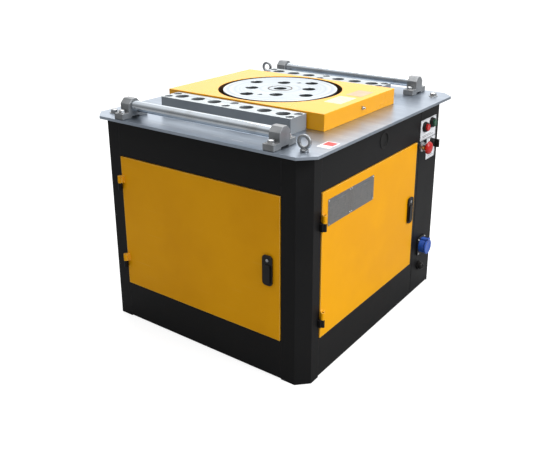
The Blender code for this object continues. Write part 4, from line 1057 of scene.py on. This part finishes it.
def latch(side):
    """A flush latch: a bordered plate over its case, a lever, and a round key cylinder above."""
    housing, lever, door = f"{side}_latch_housing", f"{side}_latch_lever", f"{side}_door"
    low, high, centre = box_of(housing)
    lever_low, lever_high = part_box(lever)
    if side == "side":
        stand = Matrix.Translation((high.x, centre.y, centre.z)) @ ON_SIDE
        half_width = (high.y - low.y) / 2
        lever_reach = lever_high.x - high.x
    else:
        stand = Matrix.Translation((centre.x, low.y, centre.z)) @ UPRIGHT
        half_width = (high.x - low.x) / 2
        lever_reach = low.y - lever_low.y
    half_height = (high.z - low.z) / 2
    lever_half = (lever_high.z - lever_low.z) / 2
    lever_middle = (lever_low.z + lever_high.z) / 2 - centre.z

    bm = bmesh.new()
    add_prism(bm, rounded_rectangle(half_width, half_height, 0.010), -0.0045, 0.0)
    faces = [face for face in bm.faces if face.normal.z > 0.9 or face.calc_center_median().z > -ON_LINE]
    bmesh.ops.inset_region(bm, faces=faces, thickness=0.0024, depth=0.0)
    top = [face for face in bm.faces if face.calc_center_median().z > -ON_LINE and len(face.verts) > 8]
    bmesh.ops.translate(bm, verts=list({vert for face in top for vert in face.verts}), vec=(0, 0, -0.0012))
    bmesh.ops.transform(bm, matrix=stand, verts=bm.verts)
    round_edges(bm, 0.0005)
    piece(f"{side}_latch_plate", bm, DARK_PLASTIC, door, "black_plastic", [housing])

    bm = bmesh.new()
    verts = add_box(bm, (-0.012, -0.034, -0.0178), (0.012, 0.034, -0.0045))
    bmesh.ops.transform(bm, matrix=stand, verts=verts)
    round_edges(bm, 0.001)
    piece(f"{side}_latch_case", bm, DARK_PLASTIC, door, "black_plastic")

    key = [(0, 0.0004), (0.0040, 0.0004), (0.0044, 0.0), (0.0044, -0.002), (0, -0.002)]
    key_stand = stand @ Matrix.Translation((0, half_height - 0.0145, 0.0))
    lathe_piece(f"{side}_key_cylinder", FORGED, key, 28, key_stand, door)

    bm = bmesh.new()
    verts = add_prism(bm, rounded_rectangle(0.0100, lever_half, 0.004), -0.0012, lever_reach)
    bmesh.ops.transform(bm, matrix=stand @ Matrix.Translation((0, lever_middle, 0)), verts=verts)
    round_edges(bm, 0.0007)
    piece(f"{side}_latch_handle", bm, DARK_PLASTIC, lever, "black_plastic", [lever])


# ---------------------------------------------------------------- controls


def push_button(name, material, slot):
    """A dished cap inside its bezel."""
    low, high, centre = box_of(f"{name}_button")
    radius = (high.z - low.z) / 2
    reach = high.x - STRIP_FACE
    stand = facing_out(centre.y, centre.z)
    cap = [(0, reach - 0.0010), (radius * 0.62, reach - 0.0008), (radius * 0.84, reach - 0.0002)]
    cap += [(radius * 0.93, reach), (radius, reach - 0.0012), (radius, -0.010), (0, -0.010)]
    lathe_piece(f"{name}_cap", material, cap, 48, stand, f"{name}_button", slot, [f"{name}_button"])
    bezel = [(0.0122, 0.0100), (0.0134, 0.0108), (0.0148, 0.0100), (0.0152, 0.0060), (0.0162, 0.0050)]
    bezel += [(0.0165, 0.0040), (0.0165, 0.0009), (0.0122, 0.0009)]
    lathe_piece(f"{name}_bezel", DARK_PLASTIC, bezel, 56, stand, ring=True)


def emergency_stop():
    """A red mushroom with a rolled edge over a plated collar."""
    button = "emergency_stop_button"
    high, centre = box_of(button)[1:]
    stand = facing_out(centre.y, centre.z)
    reach = high.x - STRIP_FACE
    dome = [(0.0, reach)]
    for step in range(1, 13):
        angle = math.radians(90) * step / 12
        dome.append((0.0198 * math.sin(angle) ** 0.92, reach - 0.0105 * (1 - math.cos(angle)) ** 1.15))
    rim = dome[-1][1]
    dome += [(0.0200, rim - 0.0010), (0.0197, rim - 0.0020), (0.0186, rim - 0.0026)]
    dome += [(0.0125, rim - 0.0026), (0.0100, rim - 0.0032), (0.0095, -0.012), (0, -0.012)]
    lathe_piece("emergency_mushroom", RED, dome, 64, stand, button, "red_plastic", [button])
    collar = [(0.0102, 0.0165), (0.0112, 0.0170), (0.0122, 0.0162), (0.0122, 0.0090), (0.0136, 0.0078)]
    collar += [(0.0158, 0.0066), (0.0160, 0.0052), (0.0160, 0.0003), (0.0102, 0.0003)]
    lathe_piece("emergency_collar", BOLT, collar, 56, stand, ring=True)


def selector():
    """A knob with a raised grip and a white pointer line, in a plated bezel."""
    high, centre = box_of("selector_knob")[1:]
    stand = facing_out(centre.y, centre.z)
    skirt = [(0, 0.0178), (0.0112, 0.0178), (0.0128, 0.0168), (0.0135, 0.0150), (0.0135, 0.0034)]
    skirt += [(0.0085, 0.0034), (0.0085, -0.009), (0, -0.009)]
    bm = bmesh.new()
    add_lathe(bm, skirt, 48, stand)
    low_corner = (STRIP_FACE + 0.012, centre.y - 0.0034, centre.z - 0.0129)
    rounded_box(bm, low_corner, (high.x, centre.y + 0.0034, centre.z + 0.0129), 0.0010, 3)
    piece("selector_grip", bm, DARK_PLASTIC, "selector_knob", "black_plastic", ["selector_knob"])
    bm = bmesh.new()
    low_corner = (high.x - 0.0004, centre.y - 0.0006, centre.z + 0.001)
    add_box(bm, low_corner, (high.x + 0.0001, centre.y + 0.0006, centre.z + 0.0115))
    piece("selector_pointer", bm, WHITE_FILM, "selector_knob")
    bezel = [(0.0090, 0.0028), (0.0142, 0.0028), (0.0152, 0.0018), (0.0152, 0.0009), (0.0090, 0.0009)]
    lathe_piece("selector_bezel", BOLT, bezel, 48, stand, ring=True)


def power_socket():
    """The socket's flange, collar, pins and screws, and its sprung lid."""
    low, high, centre = box_of("socket_body")
    stand = facing_out(centre.y, centre.z)
    half_y, half_z = (high.y - low.y) / 2, (high.z - low.z) / 2
    bm = bmesh.new()
    flange_stand = Matrix.Translation((STRIP_FACE, centre.y, centre.z)) @ ON_SIDE
    verts = add_prism(bm, rounded_rectangle(half_y, half_z, 0.006), 0.0003, 0.0053, flange_stand)
    round_edges(bm, 0.0009, 3, verts)
    piece("socket_flange", bm, DARK_PLASTIC)
    bm = bmesh.new()
    collar = [(0.0232, 0.0222), (0.0235, 0.0214), (0.0235, 0.0040), (0.0185, 0.0040), (0.0185, 0.0222)]
    add_lathe(bm, collar, 56, stand, ring=True)
    low_corner = (STRIP_FACE + 0.003, centre.y - 0.009, centre.z + 0.0205)
    rounded_box(bm, low_corner, (STRIP_FACE + 0.0222, centre.y + 0.009, centre.z + 0.0273), 0.0008)
    piece("socket_shell", bm, BLUE, "cabinet", "blue_plastic", ["socket_body"])
    bm = bmesh.new()
    pin = [(0, 0.0170), (0.0016, 0.0166), (0.0024, 0.0150), (0.0024, 0.0040), (0, 0.0040)]
    for turn in (90, 210, 330):
        y, z = 0.0098 * math.cos(math.radians(turn)), 0.0098 * math.sin(math.radians(turn))
        add_lathe(bm, pin, 20, facing_out(centre.y + y, centre.z + z))
    piece("socket_pins", bm, BOLT)
    bm = bmesh.new()
    screw = [(0, 0.0078), (0.0018, 0.0074), (0.0029, 0.0062), (0.0031, 0.0050), (0, 0.0050)]
    for y in (-0.0215, 0.0215):
        for z in (-0.0250, 0.0250):
            add_lathe(bm, screw, 20, facing_out(centre.y + y, centre.z + z))
    piece("socket_screws", bm, BOLT)

    low, high, flap = box_of("socket_flap")
    face = high.x - STRIP_FACE
    back = face - 0.0048
    lid = [(0, face - 0.0012), (0.0130, face - 0.0010), (0.0150, face), (0.0228, face)]
    lid += [(0.0246, face - 0.0008), (0.0250, face - 0.0018), (0.0250, back), (0, back)]
    bm = bmesh.new()
    add_lathe(bm, lid, 56, stand)
    low_corner = (low.x + 0.0001, flap.y - 0.0088, high.z - 0.016)
    rounded_box(bm, low_corner, (high.x - 0.0008, flap.y + 0.0088, high.z - 0.0034), 0.0006)
    hinge = [(0, 0.009), (0.0026, 0.009), (0.0031, 0.0084), (0.0031, -0.0084), (0.0026, -0.009), (0, -0.009)]
    knuckle = Matrix.Translation((high.x - 0.0008, flap.y, high.z - 0.0032))
    add_lathe(bm, hinge, 28, knuckle @ turn_to((0, 1, 0)))
    piece("socket_lid", bm, BLUE, "socket_flap", "blue_plastic", ["socket_flap"])


def cable_gland():
    """A blanked cable gland low on the strip: a hexagon body, a domed nut and a stopper."""
    stand = facing_out(*GLAND_PLACE)
    bm = bmesh.new()
    verts = add_prism(bm, polygon(6, 0.0150), 0.0003, 0.0060, stand)
    round_edges(bm, 0.0006, 2, verts)
    nut = [(0, 0.0160), (0.0062, 0.0160), (0.0066, 0.0180), (0.0086, 0.0176), (0.0112, 0.0150)]
    nut += [(0.0120, 0.0120), (0.0120, 0.0050), (0, 0.0050)]
    add_lathe(bm, nut, 40, stand)
    piece("cable_gland", bm, DARK_PLASTIC)


def access_plug():
    """The dished rubber plug in the cabinet's access hole."""
    y, z, radius = ACCESS_HOLE
    rim = [(-0.006, -0.0030), (-0.0032, -0.0016), (-0.0020, 0.0014), (-0.0002, 0.0020), (0.0016, 0.0014)]
    rim += [(0.0020, 0.0003), (-0.0006, 0.0003), (-0.0006, -0.0034), (0.0008, -0.0046), (-0.004, -0.0064)]
    plug = [(0, -0.0030), *((radius + out, height) for out, height in rim), (0, -0.0060)]
    stand = facing_out(y, z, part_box("side_top_panel")[1].x)
    lathe_piece("access_hole_plug", RUBBER, plug, 64, stand, "cabinet", "rubber")


# ---------------------------------------------------------------- inside the cabinet


def floor_lips():
    """Folded lips that close the gap between the floor plate and the wall panels."""
    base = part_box("floor_plate")[1].z + FILM
    thick, rise, reach = LIP
    walls = {"front": ("front_bottom_panel", 1, 1), "side": ("side_bottom_panel", 0, -1)}
    walls.update({"back": ("back_panel", 1, -1), "left": ("left_panel", 0, 1)})
    for name, (panel, axis, inward) in walls.items():
        low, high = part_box(panel)
        if name == "side":
            high.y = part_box("control_strip")[1].y
        face = (high[axis] if inward > 0 else low[axis]) + inward * FILM
        bm = bmesh.new()
        for depth, top in ((thick, rise), (reach, thick)):
            first, last = Vector((low.x, low.y, base)), Vector((high.x, high.y, base + top))
            first[axis], last[axis] = sorted((face, face + inward * depth))
            add_box(bm, first, last)
        round_edges(bm, 0.0004, 1)
        piece(f"{name}_floor_lip", bm, BLACK)


def motor_fittings():
    """The motor's fan cowl, and the terminal box on its side."""
    low, high, centre = box_of("motor_body")
    radius = (high.x - low.x) / 2
    top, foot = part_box("table_plate")[0].z - 0.004, high.z - 0.034
    cowl = [(0, top - 0.0012), (radius - 0.012, top - 0.0012), (radius - 0.004, top - 0.0040)]
    cowl += [(radius + 0.0020, top - 0.0110), (radius + 0.0020, foot), (radius + 0.0006, foot)]
    cowl += [(radius + 0.0006, top - 0.0120), (0, top - 0.0100)]
    lathe_piece("motor_fan_cowl", BLACK, cowl, 64, Matrix.Translation((centre.x, centre.y, 0)))

    face = low.x + 0.004
    half_y, low_z, high_z, deep = TERMINAL_BOX
    lid = face - deep
    bm = bmesh.new()
    add_box(bm, (lid, centre.y - half_y, low_z), (face, centre.y + half_y, high_z))
    round_edges(bm, 0.004, 3)
    low_corner = (lid - 0.005, centre.y - half_y - 0.002, low_z - 0.002)
    rounded_box(bm, low_corner, (lid + 0.002, centre.y + half_y + 0.002, high_z + 0.002), 0.0015)
    piece("motor_terminal_box", bm, MOTOR_PAINT)
    bm = bmesh.new()
    screw = [(0, 0.0022), (0.0024, 0.0018), (0.0032, 0), (0, 0)]
    for y in (-half_y + 0.006, half_y - 0.006):
        for z in (low_z + 0.006, high_z - 0.006):
            spot = Matrix.Translation((lid - 0.005, centre.y + y, z))
            add_lathe(bm, screw, 20, spot @ turn_to((-1, 0, 0)))
    piece("terminal_box_screws", bm, BOLT)
    bm = bmesh.new()
    spot = Matrix.Translation((face - deep / 2, centre.y, low_z)) @ turn_to((0, 0, -1))
    verts = add_prism(bm, polygon(6, 0.0115), 0.0003, 0.0060, spot)
    round_edges(bm, 0.0005, 2, verts)
    dome = [(0, 0.0150), (0.0055, 0.0150), (0.0085, 0.0130), (0.0095, 0.0100), (0.0095, 0.0050), (0, 0.0050)]
    add_lathe(bm, dome, 32, spot)
    piece("terminal_box_gland", bm, DARK_PLASTIC)


def gearbox_fittings():
    """The gearbox's side ribs and its oil plugs."""
    low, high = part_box("gearbox_body")
    bm = bmesh.new()
    rib, rise = 0.004, 0.006
    for share in (0.2, 0.4, 0.6, 0.8):
        x = low.x + share * (high.x - low.x) - 0.02
        add_box(bm, (x - rib, low.y - rise, low.z + 0.012), (x + rib, low.y + 0.002, high.z - 0.012))
    low_corner = (low.x + 0.05, low.y - rise, high.z - 0.013)
    add_box(bm, low_corner, (high.x - 0.10, low.y + 0.002, high.z - 0.005))
    round_edges(bm, 0.0015)
    piece("gearbox_ribs", bm, MOTOR_PAINT)
    bm = bmesh.new()
    plug = [(0, 0.0070), (0.0080, 0.0070), (0.0095, 0.0058), (0.0095, 0.0016)]
    plug += [(0.0125, 0.0014), (0.0125, 0), (0, 0)]
    for x, z in ((low.x + 0.09, low.z + 0.030), (high.x - 0.14, high.z - 0.045)):
        add_lathe(bm, plug, 32, Matrix.Translation((x, low.y - 0.0003, z)) @ turn_to((0, -1, 0)))
    piece("gearbox_oil_plugs", bm, BOLT)


def contactor_fittings():
    """The contactor's cover, its terminals with their screws, the rail and the terminal blocks on it."""
    low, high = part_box("contactor")
    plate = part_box("switchgear_plate")[0].y
    middle, rail_z = (low.x + high.x) / 2, (low.z + high.z) / 2
    terminals = [
        (middle + step * TERMINAL_PITCH, z) for z in (low.z + 0.010, high.z - 0.010) for step in range(-1, 2)
    ]
    bm = bmesh.new()
    low_corner = (middle - 0.016, low.y - 0.006, low.z + 0.022)
    rounded_box(bm, low_corner, (middle + 0.016, low.y + 0.002, high.z - 0.022), 0.0015)
    for x, z in terminals:
        for left in (x - 0.0095, x + 0.0075):
            add_box(bm, (left, low.y - 0.003, z - 0.008), (left + 0.002, low.y + 0.002, z + 0.008))
    piece("contactor_front", bm, GREY_PLASTIC)
    bm = bmesh.new()
    screw = [(0, 0.0020), (0.0030, 0.0016), (0.0040, 0), (0, 0)]
    for x, z in terminals:
        add_lathe(bm, screw, 16, Matrix.Translation((x, low.y - LIFT, z)) @ turn_to((0, -1, 0)))
    piece("contactor_screws", bm, BOLT)
    bm = bmesh.new()
    rail = [(-0.0175, 0.0), (0.0175, 0.0), (0.0175, 0.0062), (0.0135, 0.0062), (0.0135, 0.0012)]
    rail += [(-0.0135, 0.0012), (-0.0135, 0.0062), (-0.0175, 0.0062)]
    stand = Matrix.Translation((0, plate - 0.0003, rail_z)) @ Matrix.Rotation(math.radians(90), 4, "Y")
    stand = stand @ Matrix.Diagonal((1, -1, 1, 1))
    add_prism(bm, rail, high.x + 0.004, high.x + 0.130, stand)
    add_prism(bm, rail, low.x - 0.030, low.x - 0.004, stand)
    piece("contactor_rail", bm, BOLT)
    bm = bmesh.new()
    for number in range(4):
        x = high.x + 0.014 + number * 0.0125
        add_box(bm, (x, plate - 0.045, rail_z - 0.024), (x + 0.0110, plate - 0.008, rail_z + 0.024))
    round_edges(bm, 0.0008)
    piece("terminal_blocks", bm, GREY_PLASTIC)


# ---------------------------------------------------------------- studio


def floor():
    """A plain pale floor, white to the eye and duller as a source of bounced light."""
    material, tree, shader = shader_of("studio_floor", roughness=0.6, specular_ior_level=0.1)
    shader.inputs["Emission Color"].default_value = rgb(1.0, 1.0, 1.0)
    seen = node(tree, "LightPath").outputs["Is Camera Ray"]
    tree.links.new(calc(tree, "MULTIPLY", seen, FLOOR_GLOW), shader.inputs["Emission Strength"])
    patches = noise(tree, object_coords(tree), 0.8, 3.0)
    base = blend_colour(tree, patches, rgb(0.36, 0.36, 0.36), rgb(0.40, 0.40, 0.40))
    tree.links.new(base, shader.inputs["Base Color"])
    bm = bmesh.new()
    bmesh.ops.create_grid(bm, x_segments=1, y_segments=1, size=FLOOR_REACH)
    mesh = bpy.data.meshes.new("studio_floor")
    bm.to_mesh(mesh)
    bm.free()
    mesh.materials.append(material)
    made = bpy.data.objects.new("studio_floor", mesh)
    bpy.context.scene.collection.objects.link(made)


def soft_light(name, place, target, size, power):
    lamp = bpy.data.lights.new(name, "AREA")
    lamp.shape = "RECTANGLE"
    lamp.size, lamp.size_y = size
    lamp.energy = power
    made = bpy.data.objects.new(name, lamp)
    made.location = place
    made.rotation_euler = (Vector(target) - Vector(place)).to_track_quat("-Z", "Y").to_euler()
    bpy.context.scene.collection.objects.link(made)


def studio_world():
    """White to the eye; as a light, bright above and dimmer on the front door's side."""
    world = bpy.data.worlds.new("studio")
    bpy.context.scene.world = world
    world.use_nodes = True
    tree = world.node_tree
    background = tree.nodes["Background"]
    way = node(tree, "TexCoord").outputs["Generated"]
    axes = node(tree, "SeparateXYZ", {0: way}).outputs
    height = band(tree, axes["Z"], -0.1, 0.9, 0.45, 1.0)
    side = band(tree, axes["Y"], -0.9, 0.5, 0.26, 1.0)
    side = calc(tree, "MAXIMUM", side, band(tree, axes["Z"], 0.30, 0.75))
    level = calc(tree, "MULTIPLY", height, side)
    card = node(tree, "VectorMath", {0: way, 1: CARD_WAY}, operation="DOT_PRODUCT").outputs["Value"]
    level = calc(tree, "ADD", level, band(tree, card, 0.72, 0.95, 0.0, CARD_LEVEL))
    seen = node(tree, "LightPath").outputs["Is Camera Ray"]
    strength = node(tree, "Mix", {0: seen, 2: level, 3: 1.0}, data_type="FLOAT").outputs[0]
    background.inputs["Color"].default_value = rgb(0.97, 0.985, 1.0)
    tree.links.new(strength, background.inputs["Strength"])


def camera():
    lens = bpy.data.cameras.new("camera")
    lens.lens = CAMERA_LENS
    lens.sensor_width = 36.0
    lens.shift_y = CAMERA_SHIFT
    lens.clip_end = 100.0
    made = bpy.data.objects.new("camera", lens)
    yaw, pitch, roll = (math.radians(angle) for angle in CAMERA_TURNS)
    turn = Matrix.Rotation(yaw, 4, "Z") @ Matrix.Rotation(math.radians(90) + pitch, 4, "X")
    made.matrix_world = Matrix.Translation(CAMERA_PLACE) @ turn @ Matrix.Rotation(roll, 4, "Z")
    bpy.context.scene.collection.objects.link(made)
    bpy.context.scene.camera = made


camera()
studio_world()
floor()
soft_light("key_light", (3.0, -0.3, 2.6), (0, 0, 0.4), (1.8, 1.8), 88)
soft_light("top_light", (-0.4, 0.9, 3.4), (0, 0, 0.6), (2.6, 2.0), 84)
soft_light("front_fill", (-1.4, -3.2, 1.6), (0, 0, 0.4), (4.0, 3.0), 3)
bpy.context.scene.view_settings.view_transform = "Standard"

finish_nodes()
working_disc()
table_block()
for side_name in ("front", "back"):
    hole_bar(side_name)
    feed_roller(side_name)
    lifting_eye(side_name)
    for end_name in ("left", "right"):
        roller_bracket(end_name, side_name)
plate_fittings()
data_plates()
control_labels()
stickers()
latch("front")
latch("side")
push_button("stop", RED, "red_plastic")
push_button("start", GREEN, "green_plastic")
emergency_stop()
selector()
power_socket()
cable_gland()
access_plug()
floor_lips()
motor_fittings()
gearbox_fittings()
contactor_fittings()
